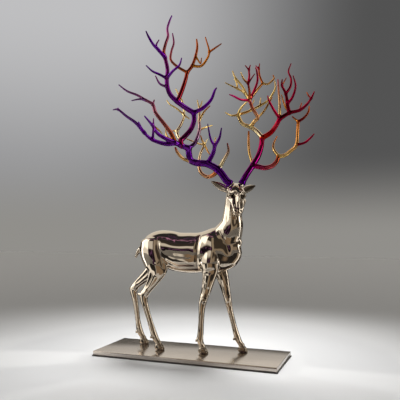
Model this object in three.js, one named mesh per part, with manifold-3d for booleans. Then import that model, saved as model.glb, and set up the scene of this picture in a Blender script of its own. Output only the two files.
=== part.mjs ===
// A walking stag in mirror-polished stainless steel, its head turned to one side, with two coloured
// branching antlers, on a flat steel base. Millimetres, +Z up, origin at the middle of the underside.
// +X is the way the stag walks and -Y is the side that it turns its face to.
import * as THREE from "three";
import { mergeVertices } from "three/addons/utils/BufferGeometryUtils.js";
import Module from "manifold-3d";

const wasm = await Module();
wasm.setup();

// Base
const BASE_LENGTH = 1500;
const BASE_DEPTH = 530;
const BASE_THICKNESS = 32;
const BASE_EDGE_BEVEL = 2.5;
const UNDER_THICKNESS = 8;
const UNDER_MARGIN = 6;

// Stag
const WITHERS_HEIGHT = 1000;
const STANCE_SHIFT_BACK = 30;
const HEAD_TURN_DEGREES = 26;
const FACE_TURN_DEGREES = 3;
const FACE_LEAN_DEGREES = 5;
const SEAT_GAP = 0.3;

// Facets
const TRUNK_SIDES = 16;
const NECK_SIDES = 12;
const LEG_SIDES = 8;
const CLAW_SIDES = 6;
const TINE_SIDES = 6;
const TWIG_SIDES = 5;

// Free forms below are given in hundredths of the withers height.
const SHARE = WITHERS_HEIGHT / 100;
const BASE_TOP = UNDER_THICKNESS + SEAT_GAP + BASE_THICKNESS;

const ALONG = new THREE.Vector3(1, 0, 0);
const ACROSS = new THREE.Vector3(0, 1, 0);
const UP = new THREE.Vector3(0, 0, 1);

// A closed skin through oval rings. A row is x, y, z, half depth, half width and cup, where the width
// starts out along the wide vector and the cup bends the ring's two edges along its depth. A cap rounds an
// end off by its share of the ring's size, and a pointed skin ends in its last row's centre.
function loft(rows, { sides, wide, startCap = 0.7, endCap = 0.7, pointed = false }) {
  const centres = rows.map((row) => new THREE.Vector3(row[0], row[1], row[2]));
  const last = rows.length - 1;
  const points = [];
  const faces = [];
  const width = wide.clone();

  const tangents = centres.map((centre, i) => {
    const before = centres[Math.max(i - 1, 0)];
    const after = centres[Math.min(i + 1, last)];
    return after.clone().sub(before).normalize();
  });

  rows.forEach(([, , , deep, half, cup = 0], i) => {
    const along = tangents[i];
    width.addScaledVector(along, -width.dot(along)).normalize();
    const depthAxis = new THREE.Vector3().crossVectors(along, width);
    const addRing = (shift, share) => {
      const centre = centres[i].clone().addScaledVector(along, shift * Math.min(deep, half));
      for (let k = 0; k < sides; k++) {
        const angle = (2 * Math.PI * k) / sides;
        const across = Math.cos(angle);
        const depth = share * (deep * Math.sin(angle) + cup * across * across);
        points.push(
          centre.clone().addScaledVector(width, share * half * across).addScaledVector(depthAxis, depth),
        );
      }
    };
    if (i === 0 && startCap > 0) addRing(-startCap * Math.SQRT1_2, Math.SQRT1_2);
    if (i < last || !pointed) addRing(0, 1);
    if (i === last && endCap > 0) addRing(endCap * Math.SQRT1_2, Math.SQRT1_2);
  });

  const ringCount = points.length / sides;
  const lastRing = (ringCount - 1) * sides;
  for (let r = 0; r < lastRing; r += sides) {
    for (let k = 0; k < sides; k++) {
      const a = r + k;
      const b = r + ((k + 1) % sides);
      faces.push(a, b, b + sides, a, b + sides, a + sides);
    }
  }

  const addPole = (index, shift) => {
    const [, , , deep, half] = rows[index];
    const pole = centres[index].clone().addScaledVector(tangents[index], shift * Math.min(deep, half));
    return points.push(pole) - 1;
  };
  const startPole = addPole(0, -startCap);
  const endPole = addPole(last, endCap);
  for (let k = 0; k < sides; k++) {
    const next = (k + 1) % sides;
    faces.push(startPole, next, k);
    faces.push(endPole, lastRing + k, lastRing + next);
  }
  const geometry = new THREE.BufferGeometry().setFromPoints(points);
  geometry.setIndex(faces);
  return geometry;
}

function solid(geometry) {
  const bare = geometry.clone();
  bare.deleteAttribute("normal");
  bare.deleteAttribute("uv");
  const merged = mergeVertices(bare, 1e-4);
  return new wasm.Manifold(new wasm.Mesh({
    numProp: 3,
    vertProperties: new Float32Array(merged.attributes.position.array),
    triVerts: new Uint32Array(merged.index.array),
  }));
}

function joined(geometries) {
  return geometries.map(solid).reduce((whole, piece) => whole.add(piece));
}

function geometryOf(manifold) {
  const mesh = manifold.getMesh();
  const geometry = new THREE.BufferGeometry();
  geometry.setAttribute("position", new THREE.BufferAttribute(new Float32Array(mesh.vertProperties), 3));
  geometry.setIndex(new THREE.BufferAttribute(new Uint32Array(mesh.triVerts), 1));
  return geometry;
}

// Rows in shares of the withers height become rows in millimetres.
const scaled = (rows) => rows.map((row) => row.map((value) => value * SHARE));

// A limb's rows are along, across, up, half depth and half width.
const limb = (rows, options) => loft(scaled(rows), { wide: ACROSS, ...options });

// Trunk and neck: along, top, bottom, half width.
const TRUNK = [
  [-45.5, 86.5, 79, 3.5],
  [-43, 90, 73, 7],
  [-38, 94, 69, 9.8],
  [-30, 96.8, 66.5, 11],
  [-22, 96.7, 65.4, 11.3],
  [-13, 95.2, 63, 11.2],
  [-3, 95, 62, 11.4],
  [6, 95.2, 62.6, 11.3],
  [13, 96.8, 62.6, 10.8],
  [20, 99, 63.2, 9.8],
  [27, 100.5, 65.8, 8.2],
  [32.5, 100, 71, 6.2],
  [37, 97, 79, 4.2],
  [39.5, 93, 85, 2.2],
];
const trunkRow = ([along, top, bottom, half]) => [along, 0, (top + bottom) / 2, (top - bottom) / 2, half];

const NECK = [
  [25, 0, 87.5, 11.5, 7.6],
  [29.8, 0, 94, 11.6, 7.6],
  [32.8, 0, 101, 9.6, 7.2],
  [33.6, 0, 108, 7.9, 6.3],
  [34, 0, 115, 6.9, 5.6],
  [34.4, -0.2, 121.5, 6.3, 5.2],
  [35.4, -0.6, 127, 5.6, 5],
  [36.4, -0.8, 131, 4.5, 4.6],
];

const TAIL = [
  [-43.5, 0, 86, 1.6, 2],
  [-47.2, 0, 82.6, 1.5, 1.9],
  [-50.2, 0, 77.8, 1.4, 1.8],
  [-52.4, 0, 73.6, 0.8, 1],
];

// Legs, from inside the trunk down to the coronet. Across is measured away from the middle of the body.
const NEAR_FORELEG = [
  [15, 6.6, 80, 9.5, 3.8],
  [16.5, 7.2, 72, 8.4, 4.2],
  [17.2, 7.4, 65, 6.8, 3.8],
  [16, 7.2, 58, 5.2, 3.4],
  [14.1, 7.2, 50, 4.1, 3],
  [12.2, 7.4, 44, 3.4, 2.8],
  [11, 7.5, 39.5, 3.1, 2.7],
  [10.4, 7.6, 34.5, 2.6, 2.4],
  [10.1, 7.7, 28, 2.3, 2.1],
  [9.7, 7.8, 21, 2.3, 2],
  [9.4, 7.9, 15, 2.5, 2.2],
  [9.1, 8, 11, 2.7, 2.5],
  [10, 8, 7.5, 2.3, 2.3],
  [11.5, 8, 4.8, 2.4, 2.5],
];
const FAR_FORELEG = [
  [16, 6.4, 80, 9.5, 3.6],
  [18, 7, 72, 8.2, 4],
  [20.5, 7.2, 65, 6.6, 3.6],
  [23, 7.2, 59, 5.2, 3.3],
  [25.3, 7.2, 50.5, 4, 2.9],
  [26.7, 7.4, 44.5, 3.3, 2.7],
  [27.9, 7.5, 39, 2.9, 2.6],
  [29.2, 7.6, 33, 2.4, 2.2],
  [30.8, 7.7, 26.5, 2.2, 2],
  [32.5, 7.8, 20, 2.2, 1.9],
  [34, 7.9, 14.5, 2.4, 2.1],
  [35.2, 8, 10.8, 2.6, 2.4],
  [37.2, 8, 7.2, 2.2, 2.2],
  [39.2, 8, 4.6, 2.3, 2.4],
];
const NEAR_HIND_LEG = [
  [-33, 6.2, 88, 11, 4.4],
  [-32.5, 7, 80, 11.8, 5],
  [-30, 7.4, 72, 11.2, 4.8],
  [-28.8, 7.6, 65, 9.2, 4.2],
  [-30.8, 7.6, 59, 6.6, 3.5],
  [-34, 7.6, 53, 4.6, 2.9],
  [-37.4, 7.6, 48, 3.5, 2.6],
  [-40.3, 7.7, 43.5, 3.7, 2.6],
  [-40.2, 7.7, 39, 3.1, 2.3],
  [-38.7, 7.8, 34, 2.6, 2],
  [-36.5, 7.8, 27.5, 2.4, 1.9],
  [-34, 7.9, 20.5, 2.4, 1.9],
  [-32, 8, 15, 2.6, 2.2],
  [-30.5, 8, 10.8, 2.8, 2.5],
  [-28.3, 8, 7.4, 2.3, 2.3],
  [-26.2, 8, 4.7, 2.3, 2.5],
];
const FAR_HIND_LEG = [
  [-33, 6, 88, 10.5, 4.2],
  [-33.5, 6.8, 80, 11.2, 4.8],
  [-34, 7.2, 72, 10, 4.5],
  [-38, 7.4, 65, 7.8, 3.8],
  [-44, 7.5, 59, 5.4, 3.1],
  [-50, 7.6, 54, 4, 2.7],
  [-55, 7.6, 49.7, 3.4, 2.5],
  [-57.8, 7.7, 45.5, 3.6, 2.5],
  [-57.2, 7.7, 40.5, 2.9, 2.2],
  [-56, 7.8, 35, 2.4, 2],
  [-54.8, 7.8, 27.5, 2.2, 1.9],
  [-53.8, 7.9, 20, 2.2, 1.9],
  [-52.8, 8, 14.5, 2.5, 2.2],
  [-51.8, 8, 10.5, 2.8, 2.5],
  [-49.8, 8, 7.2, 2.3, 2.3],
  [-48, 8, 4.6, 2.3, 2.4],
];
// The hock is at one of the leg's rows, and its point is measured from there: along, up.
const LEGS = [
  { rows: NEAR_FORELEG, side: -1 },
  { rows: FAR_FORELEG, side: 1 },
  { rows: NEAR_HIND_LEG, side: -1, hock: { row: 7, point: [-4.9, 0.6] } },
  { rows: FAR_HIND_LEG, side: 1, hock: { row: 7, point: [-3.4, 1] } },
];

// A claw runs from heel to toe, measured from the coronet above it: along, up, half depth, half width.
const CLAW = [
  [-2.6, 1.6, 1.6, 1],
  [-1, 2.4, 3, 1.35],
  [1, 2, 2.6, 1.3],
  [2.5, 1, 1.7, 1],
  [3.5, 0.5, 1, 0.6],
];
const CLAW_SPREAD = 1.4;
const DEWCLAW = [
  [-1.6, 0.6, 0.9],
  [-2.9, -0.6, 0.8],
  [-3.7, -1.8, 0.4],
];
const DEWCLAW_SPREAD = 1.3;

// A leg's last three rows are its fetlock, its pastern and its coronet.
function legPieces({ rows, side, hock }) {
  const placed = rows.map(([along, across, ...rest]) => [along, side * across, ...rest]);
  const [fetlock, , [footAlong, footAcross]] = placed.slice(-3);
  const pieces = [limb(placed, { sides: LEG_SIDES, startCap: 0, endCap: 0 })];
  for (const turn of [-1, 1]) {
    const claw = CLAW.map(([along, up, deep, half]) => [
      footAlong + along, footAcross + turn * CLAW_SPREAD, up, deep, half,
    ]);
    pieces.push(limb(claw, { sides: CLAW_SIDES, startCap: 0 }));
    const dewclaw = DEWCLAW.map(([along, up, radius]) => [
      fetlock[0] + along, fetlock[1] + turn * DEWCLAW_SPREAD, fetlock[2] + up, radius, radius,
    ]);
    pieces.push(limb(dewclaw, { sides: TWIG_SIDES, startCap: 0, endCap: 0 }));
  }
  if (hock) {
    const joint = placed[hock.row];
    const [pointAlong, pointUp] = hock.point;
    const point = [[0, 2.2], [0.6, 1.8], [1, 1.2]].map(([share, radius]) => [
      joint[0] + share * pointAlong, joint[1], joint[2] + share * pointUp, radius, radius,
    ]);
    pieces.push(limb(point, { sides: CLAW_SIDES, startCap: 0 }));
  }
  return pieces;
}

// The head's own axes start at the crown between the antlers: across to the viewer's right as the face
// looks out, back away from the face, and up. The face turns and leans a little further than the antlers.
const CROWN = [37.1, -0.6, 133.5];
const headPlace = new THREE.Matrix4()
  .makeTranslation(CROWN[0] * SHARE, CROWN[1] * SHARE, CROWN[2] * SHARE)
  .multiply(new THREE.Matrix4().makeRotationZ(THREE.MathUtils.degToRad(HEAD_TURN_DEGREES)));
const facePlace = headPlace.clone()
  .multiply(new THREE.Matrix4().makeRotationZ(THREE.MathUtils.degToRad(FACE_TURN_DEGREES)))
  .multiply(new THREE.Matrix4().makeRotationY(THREE.MathUtils.degToRad(FACE_LEAN_DEGREES)));

// Skull to nose: back, up, half depth, half width.
const SKULL = [
  [4.8, -2, 2.6, 3.2],
  [3, -2.8, 4.4, 5],
  [0, -4.6, 5.5, 6.3],
  [-3.5, -8.2, 5.9, 7.3],
  [-6.8, -12.2, 5.4, 6.8],
  [-9.6, -16.2, 4.4, 5.4],
  [-12, -19.8, 3.6, 4.5],
  [-13.8, -22.5, 3.2, 4.1],
  [-14.8, -24, 2.4, 3.2],
];
const skullRow = ([back, up, deep, half]) => [0, back, up, deep, half];

// Ear: across, back, up, half thickness, half width, cup.
const EAR = [
  [4.6, 1.5, -5.4, 1.4, 1.7, 0],
  [7.4, 3, -4.4, 1.1, 2.6, 0.6],
  [10, 4.9, -3, 0.75, 3.3, 1.1],
  [13, 7.2, -1.4, 0.6, 3.1, 1.1],
  [16, 9.5, 0.2, 0.5, 2.1, 0.6],
  [19, 11.9, 2, 0.35, 0.6, 0],
];
const EYE = [5.4, -7.8, -9];
const EYE_RADIUS = 1.6;
const NOSTRIL = [1.5, -16.6, -22.2];
const NOSTRIL_RADIUS = 0.7;

function headPieces() {
  const pieces = [loft(scaled(SKULL.map(skullRow)), { sides: NECK_SIDES, wide: ALONG })];
  for (const side of [-1, 1]) {
    const ear = EAR.map(([across, back, up, deep, half, cup]) => [
      side * across, back, up, deep, half, -side * cup,
    ]);
    pieces.push(loft(scaled(ear), { sides: CLAW_SIDES, wide: UP }));
    const eye = new THREE.SphereGeometry(EYE_RADIUS * SHARE, CLAW_SIDES, TINE_SIDES);
    eye.translate(side * EYE[0] * SHARE, EYE[1] * SHARE, EYE[2] * SHARE);
    pieces.push(eye);
  }
  return pieces.map((piece) => piece.applyMatrix4(facePlace));
}

function nostrils() {
  return [-1, 1].map((side) => {
    const hole = new THREE.SphereGeometry(NOSTRIL_RADIUS * SHARE, TINE_SIDES, TINE_SIDES);
    hole.translate(side * NOSTRIL[0] * SHARE, NOSTRIL[1] * SHARE, NOSTRIL[2] * SHARE);
    return hole.applyMatrix4(facePlace);
  });
}

// Antler branches in the head's axes. A branch has its name, the branch and point that it grows from, its
// thickness at root and tip, and the points of its path: across, back, up.
const LEFT_ANTLER = [
  ["beam", null, 4.1, 3.3, [[-4.5, 0, 0], [-8, 0.5, 3.5], [-14, 3, 11.7], [-22.5, 6, 16.8],
    [-30.5, 8, 17.8], [-35.8, 8, 20], [-37.2, 7, 25], [-37.6, 6, 29.3]]],
  ["front_palm", ["beam", 7], 3.3, 1, [[-43.5, 5, 31.2], [-48.5, 3, 33], [-61.5, -2, 38.5],
    [-67, -5, 45.5], [-73.5, -8, 52.5]]],
  ["low_palm", ["front_palm", 2], 2.8, 1, [[-56, 1, 31.8], [-66.5, -3, 34.2], [-73, -6, 39.2],
    [-78, -10, 47.5]]],
  ["low_reach", ["low_palm", 3], 2, 0.8, [[-79.5, -3, 47.2], [-87, 0, 53], [-93.5, 2, 58.5],
    [-98.5, 3, 58.5]]],
  ["low_reach_fork", ["low_reach", 3], 1.1, 0.8, [[-94, 4, 61]]],
  ["low_spike", ["low_palm", 2], 1.5, 0.8, [[-66, -5, 43], [-66, -4, 51.5]]],
  ["low_stay", ["beam", 4], 1.8, 1.5, [[-41, 7, 20.5], [-46.5, 5, 25.5], [-49, 3, 30.5]]],
  ["rear_twig", ["front_palm", 4], 1.2, 0.7, [[-62.5, -1, 43], [-58.5, 3, 40]]],
  ["rear_post", ["front_palm", 2], 1.3, 0.8, [[-55, 7, 39], [-56, 11, 46]]],
  ["left_arm", ["front_palm", 2], 2.5, 0.9, [[-52, 4, 41], [-57.5, 4, 48.5], [-64, 5, 57], [-66.5, 5, 64],
    [-72, 6, 67.5], [-79, 8, 72], [-87, 10, 75.5], [-94.5, 12, 81.5]]],
  ["left_arm_spike", ["left_arm", 4], 1.3, 0.9, [[-65, 8, 69]]],
  ["left_arm_side", ["left_arm", 5], 1.3, 0.8, [[-77, 5, 68], [-84, 3, 66]]],
  ["cross_tine", ["beam", 7], 2.4, 0.8, [[-32, 7, 34.5], [-28.5, 10, 45], [-28.5, 13, 53], [-28, 16, 62],
    [-29.5, 19, 72.5]]],
  ["cross_fork_a", ["cross_tine", 4], 1.2, 0.7, [[-25, 20, 72]]],
  ["cross_fork_b", ["cross_tine", 3], 1.4, 0.8, [[-24.5, 13, 60.5], [-19, 11, 66]]],
  ["cross_side", ["cross_tine", 2], 1.2, 0.8, [[-23, 14, 48], [-16.5, 17, 50.5]]],
  ["stem", ["front_palm", 1], 2.9, 2.5, [[-44, 5, 35], [-41.5, 6, 38], [-36, 7, 44.5], [-33.3, 6, 51.5],
    [-33.6, 5, 58]]],
  ["stem_right", ["stem", 5], 2.4, 0.9, [[-26, 4, 62], [-20, 1, 68], [-17.5, -2, 74.5],
    [-15.5, -3, 77.5]]],
  ["stem_left", ["stem", 5], 2.9, 1.9, [[-40, 4, 61.5], [-47, 2, 66], [-52.5, 1, 71], [-55, 0, 77],
    [-55.5, 0, 84], [-55, 0, 91.5], [-57, -1, 100.5]]],
  ["small_left", ["stem_left", 4], 1.5, 0.8, [[-61, -2, 79], [-65, -5, 85]]],
  ["crescent_left", ["stem_left", 5], 1.6, 0.8, [[-61.5, -2, 86.5], [-67, -5, 88], [-72.5, -8, 92]]],
  ["crescent_right", ["stem_left", 5], 1.7, 0.8, [[-51, -3, 89], [-46, -6, 93], [-44, -8, 99]]],
  ["top_left", ["stem_left", 7], 2, 0.9, [[-62, -4, 105], [-66.5, -6, 109], [-70, -8, 114],
    [-72.5, -9, 119]]],
  ["top_left_spike", ["top_left", 1], 1.2, 0.8, [[-64, -4, 109], [-61.5, -3, 114.5]]],
  ["top_peak", ["stem_left", 7], 1.9, 0.9, [[-58, -1, 105], [-56.5, 2, 112.5], [-54.5, 4, 119.5],
    [-55, 5, 126], [-53.3, 6, 132.5], [-51, 7, 138.4]]],
  ["right_stem", ["stem_left", 2], 2.5, 1.1, [[-43, 4, 76], [-40, 7, 85.5], [-38.5, 8, 91.5],
    [-34.5, 9, 97.5], [-31.5, 11, 106.5], [-30, 13, 114.5], [-30.5, 14, 122.5]]],
  ["link", ["right_stem", 3], 1.6, 0.9, [[-46.5, 8, 96], [-52, 8, 101.5], [-51.5, 9, 109],
    [-49.5, 11, 116.5], [-50.5, 13, 126]]],
  ["right_bow", ["right_stem", 4], 1.6, 0.9, [[-28, 8, 97], [-24, 6, 100.5], [-21, 5, 108],
    [-24, 8, 122]]],
  ["right_bow_fork", ["right_bow", 3], 1.2, 0.8, [[-16.5, 2, 110.5], [-11, 0, 114]]],
  ["right_v", ["right_stem", 5], 1, 0.8, [[-28, 8, 99.5], [-27, 6, 104]]],
  ["rear_stem", ["stem", 1], 1.9, 0.8, [[-46, 9, 39.5], [-46.5, 11, 44], [-43, 14, 50.5],
    [-40.5, 17, 58.5], [-41.5, 20, 69.5], [-45, 22, 77], [-47.5, 23, 82.5]]],
  ["rear_stub", ["rear_stem", 2], 1.4, 0.9, [[-51, 13, 44.5]]],
  ["rear_bow", ["rear_stem", 4], 1.1, 0.7, [[-46.5, 20, 64.5], [-52, 23, 68.5], [-55, 25, 73]]],
  ["rear_cross", ["rear_stem", 4], 1, 0.8, [[-35.5, 15, 54.5]]],
  ["bez", ["beam", 3], 2.6, 1.9, [[-18, 4, 25.5], [-17, 2, 31]]],
  ["bez_left", ["bez", 2], 1.6, 0.8, [[-20.5, 0, 36], [-23.5, -4, 48]]],
  ["bez_right", ["bez", 2], 1.9, 0.9, [[-13.5, 0, 37], [-12, -3, 45.5]]],
  ["bez_rear", ["bez", 2], 1, 0.7, [[-16, 5, 39]]],
  ["brow", ["beam", 2], 2.4, 1, [[-9.8, 2, 19.5], [-6.3, 0, 26.5], [-7.5, -2, 33.5]]],
  ["rear_loop", ["beam", 2], 2.4, 0.9, [[-18, 6, 7.8], [-22.5, 9, 6.8], [-27.2, 12, 10.5],
    [-28.6, 14, 17], [-27.8, 15, 23.5], [-26.3, 16, 28.5], [-23.5, 17, 34], [-20.5, 19, 40]]],
  ["rear_x", ["rear_loop", 7], 1.2, 0.8, [[-26, 15, 38], [-27.5, 12, 41.5]]],
  ["rear_y", ["rear_loop", 7], 1.2, 0.8, [[-22, 12, 29], [-20, 8, 24.5]]],
  ["rear_arc", ["rear_loop", 7], 1, 0.7, [[-28.5, 15, 34.5], [-34.5, 13, 36.5], [-40.5, 12, 38.5]]],
];
const RIGHT_ANTLER = [
  ["beam", null, 3.6, 2.7, [[4.2, 0, 0.3], [7.7, 0.5, 6.8], [14, 3, 15.8], [19, 6, 23.5],
    [22, 8, 31.5], [23, 8, 39]]],
  ["right_arm", ["beam", 5], 2.9, 2.3, [[29.5, 7, 43], [33.5, 6, 48], [37, 5, 54.5]]],
  ["arm_left", ["right_arm", 3], 1.7, 0.8, [[31.5, 3, 61.5], [27, 0, 68], [25, -3, 72]]],
  ["arm_right", ["right_arm", 3], 2.4, 0.9, [[45, 5, 59.5], [53, 3, 61.5], [58, 0, 65.5], [61, -3, 70],
    [63.5, -5, 76]]],
  ["arm_right_fork", ["arm_right", 4], 1.2, 0.8, [[60, 1, 73.5], [59, 3, 77]]],
  ["arm_right_spike", ["arm_right", 2], 1.1, 0.8, [[56, 6, 69]]],
  ["post", ["arm_right", 1], 2.2, 0.9, [[43.5, 5, 67], [42, 4, 75], [38, 1, 81], [37.5, -2, 86]]],
  ["post_right", ["post", 2], 1.6, 0.8, [[46.5, 6, 82], [47.5, 8, 89], [46, 10, 95.5], [49, 12, 103.5]]],
  ["post_front", ["post", 1], 1.7, 0.8, [[47, 2, 72], [48.5, -2, 80], [45.5, -5, 88.5]]],
  ["post_tip", ["post", 3], 1, 0.7, [[43, 5, 89]]],
  ["gold_post", ["right_arm", 3], 1.7, 0.8, [[38, 9, 68], [38.5, 14, 80.5], [39, 18, 91.5]]],
  ["orange_post", ["arm_right", 1], 1.3, 0.8, [[42.5, 9, 66], [40.5, 13, 77]]],
  ["loop", ["beam", 2], 2.9, 2.2, [[19, 2, 14.5], [23.5, 0, 13.5], [29, -1, 15], [32.7, -1, 18.8],
    [34.5, 0, 23]]],
  ["loop_up", ["loop", 5], 1.8, 0.8, [[31.5, 3, 28.5], [32, 6, 34], [36, 9, 41.5]]],
  ["loop_out", ["loop", 5], 2.2, 1.6, [[39, -2, 23.5], [43.5, -4, 27], [47.5, -6, 31.5], [49, -5, 43],
    [49.5, -5, 50.5]]],
  ["loop_tine", ["loop_out", 3], 1.5, 0.8, [[53.5, -9, 33], [57.5, -12, 36.5], [60.5, -13, 40]]],
  ["loop_left", ["loop_out", 5], 1.4, 0.9, [[44.5, -3, 55.5]]],
  ["loop_hook", ["loop_out", 5], 1.6, 0.9, [[54, -6, 53.5], [57.5, -6, 58], [59, -5, 64]]],
  ["gold_arm", ["beam", 5], 2.6, 1.9, [[19.5, 11, 44.5], [14.5, 14, 49], [8, 16, 52], [4.5, 17, 59.5]]],
  ["gold_left", ["gold_arm", 4], 1.3, 0.8, [[-1.5, 15, 58.5], [-7.5, 12, 60.5]]],
  ["gold_up", ["gold_arm", 4], 1.3, 1, [[6.5, 15, 64.5], [11.5, 9, 70]]],
  ["gold_across", ["gold_arm", 4], 1.7, 0.8, [[15.5, 20, 64], [24.5, 22, 69], [30.5, 22, 73],
    [34.5, 20, 78.5], [36.5, 17, 83.5], [35, 14, 89]]],
  ["across_spike_a", ["gold_across", 1], 1, 0.7, [[19.5, 22, 74.5]]],
  ["across_spike_b", ["gold_across", 2], 1, 0.7, [[25.5, 24, 77]]],
  ["middle", ["gold_arm", 2], 2.2, 1.6, [[17, 10, 53], [19.5, 9, 56], [15, 8, 63.5], [12.5, 8, 70]]],
  ["middle_right", ["middle", 2], 1.4, 0.8, [[25.5, 13, 62], [30, 15, 69], [34, 17, 75.5]]],
  ["middle_tine", ["middle", 4], 1.5, 0.8, [[5, 5, 69.5], [-1.5, 2, 71.5], [-6, 0, 72.5]]],
  ["inner_post", ["beam", 2], 1.5, 1.3, [[12.5, 9, 26.5], [12.5, 12, 34.5], [13, 14, 46.5]]],
  ["fan_a", ["middle", 4], 1.5, 0.8, [[8.5, 11, 77], [3.5, 13, 80.5], [-7, 16, 86.5]]],
  ["fan_a_twig", ["fan_a", 2], 1, 0.8, [[3, 14, 85.5], [1, 15, 90]]],
  ["fan_b", ["middle", 4], 1.5, 0.8, [[7.5, 10, 81], [3.5, 12, 87], [1, 13, 91], [-0.5, 15, 96.5]]],
  ["fan_c", ["middle", 4], 1.6, 1.1, [[12, 5, 76], [10.5, 3, 82.5]]],
  ["fan_c_left", ["fan_c", 2], 1.3, 0.8, [[6.5, 1, 85.5], [3.5, -1, 91]]],
  ["fan_c_mid", ["fan_c", 2], 1.3, 0.8, [[11.5, 3, 88.5], [11.5, 4, 94], [13, 5, 99]]],
  ["fan_c_fork", ["fan_c_mid", 2], 1, 0.7, [[7.5, 2, 97.5]]],
  ["fan_c_right", ["fan_c", 2], 1.1, 0.7, [[15.5, -1, 90]]],
  ["fan_d", ["middle", 4], 1.6, 0.8, [[16.5, 6, 78.5], [18.5, 4, 85.5], [17.5, 2, 92.5], [16, 1, 96]]],
  ["fan_e", ["middle", 4], 1.8, 1.2, [[18, 11, 77.5], [25, 14, 86]]],
  ["fan_e_up", ["fan_e", 2], 1.3, 0.7, [[23, 16, 92.5], [22.5, 17, 99], [23.5, 18, 104.5]]],
  ["fan_e_fork", ["fan_e_up", 2], 1, 0.7, [[20, 20, 103]]],
  ["fan_e_right", ["fan_e", 2], 1.3, 0.8, [[29, 12, 85], [33.5, 10, 89], [32.5, 9, 92.5]]],
];

// Every branch is this much thicker than its row says, and branches under the twig size have fewer sides.
const ANTLER_HEFT = 1.5;
const TWIG_SIZE = 2.8;
const PEDICLE_SHARE_OF_BEAM = 0.92;
const PEDICLE_DEPTH = 3.2;

function antler(branches) {
  const paths = new Map();
  const pieces = branches.map(([name, root, thick, thin, points]) => {
    const path = root ? [paths.get(root[0])[root[1]], ...points] : points;
    paths.set(name, path);
    const last = path.length - 1;
    const rows = path.map((point, i) => {
      const radius = (THREE.MathUtils.lerp(thick, thin, i / last) * ANTLER_HEFT) / 2;
      return [...point, radius, radius];
    });
    const firstStep = new THREE.Vector3(...path[1]).sub(new THREE.Vector3(...path[0]));
    const wide = new THREE.Vector3().crossVectors(firstStep, Math.abs(firstStep.y) > 4 ? ALONG : ACROSS);
    const sides = thick < TWIG_SIZE ? TWIG_SIDES : TINE_SIDES;
    const pointed = !branches.some(([, onto]) => onto && onto[0] === name && onto[1] === last);
    return loft(scaled(rows), { sides, wide: wide.normalize(), startCap: 0, endCap: 0, pointed });
  });
  return geometryOf(joined(pieces));
}

// The stub of skull that an antler sits on, square to the beam's first stretch.
function pedicle(branches) {
  const [, , beamThickness, , path] = branches[0];
  const [first, second] = path.map((point) => new THREE.Vector3(...point).multiplyScalar(SHARE));
  const direction = second.clone().sub(first).normalize();
  const seat = first.clone().addScaledVector(direction, -SEAT_GAP);
  const inside = first.clone().addScaledVector(direction, -PEDICLE_DEPTH * SHARE);
  const radius = (PEDICLE_SHARE_OF_BEAM * ANTLER_HEFT * beamThickness * SHARE) / 2;
  const rows = [[...inside, radius, radius], [...seat, radius, radius]];
  const wide = new THREE.Vector3().crossVectors(direction, ACROSS).normalize();
  return loft(rows, { sides: LEG_SIDES, wide, startCap: 0, endCap: 0 }).applyMatrix4(headPlace);
}

function deerBody() {
  const pieces = [
    limb(TRUNK.map(trunkRow), { sides: TRUNK_SIDES }),
    limb(NECK, { sides: NECK_SIDES }),
    limb(TAIL, { sides: CLAW_SIDES }),
    ...LEGS.flatMap(legPieces),
    ...headPieces(),
    pedicle(LEFT_ANTLER),
    pedicle(RIGHT_ANTLER),
  ];
  const ground = new THREE.BoxGeometry(2 * WITHERS_HEIGHT, WITHERS_HEIGHT, WITHERS_HEIGHT);
  ground.translate(0, 0, SEAT_GAP - WITHERS_HEIGHT / 2);
  const cuts = joined([ground, ...nostrils()]);
  return geometryOf(joined(pieces).subtract(cuts));
}

function basePlate() {
  const outline = new THREE.Shape();
  const halfLength = BASE_LENGTH / 2 - BASE_EDGE_BEVEL;
  const halfDepth = BASE_DEPTH / 2 - BASE_EDGE_BEVEL;
  outline.moveTo(-halfLength, -halfDepth);
  outline.lineTo(halfLength, -halfDepth);
  outline.lineTo(halfLength, halfDepth);
  outline.lineTo(-halfLength, halfDepth);
  const plate = new THREE.ExtrudeGeometry(outline, {
    depth: BASE_THICKNESS - 2 * BASE_EDGE_BEVEL,
    bevelThickness: BASE_EDGE_BEVEL,
    bevelSize: BASE_EDGE_BEVEL,
    bevelSegments: 1,
  });
  plate.translate(0, 0, BASE_EDGE_BEVEL);
  return plate;
}

function underPlate() {
  const plate = new THREE.BoxGeometry(
    BASE_LENGTH + 2 * UNDER_MARGIN, BASE_DEPTH + 2 * UNDER_MARGIN, UNDER_THICKNESS,
  );
  plate.translate(0, 0, UNDER_THICKNESS / 2);
  return plate;
}

function mesh(name, geometry, color, roughness, metalness) {
  const made = new THREE.Mesh(geometry, new THREE.MeshStandardMaterial({ color, roughness, metalness }));
  made.name = name;
  return made;
}

const sculpture = new THREE.Group();
sculpture.add(mesh("under_plate", underPlate(), 0x2a2622, 0.5, 0.6));

const plate = mesh("base_plate", basePlate(), 0xa89c90, 0.22, 1);
plate.position.z = UNDER_THICKNESS + SEAT_GAP;
sculpture.add(plate);

const stag = new THREE.Group();
stag.position.set(0, STANCE_SHIFT_BACK, BASE_TOP);
stag.add(mesh("deer_body", deerBody(), 0xcdbfae, 0.05, 1));

const head = new THREE.Group();
head.applyMatrix4(headPlace);
head.add(mesh("antler_left", antler(LEFT_ANTLER), 0x5a2aa0, 0.1, 1));
head.add(mesh("antler_right", antler(RIGHT_ANTLER), 0xa01c3a, 0.1, 1));
stag.add(head);
sculpture.add(stag);

export default sculpture;
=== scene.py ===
import math

import bmesh
import bpy
import numpy as np
from mathutils import Matrix, Vector
from mathutils.kdtree import KDTree


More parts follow.
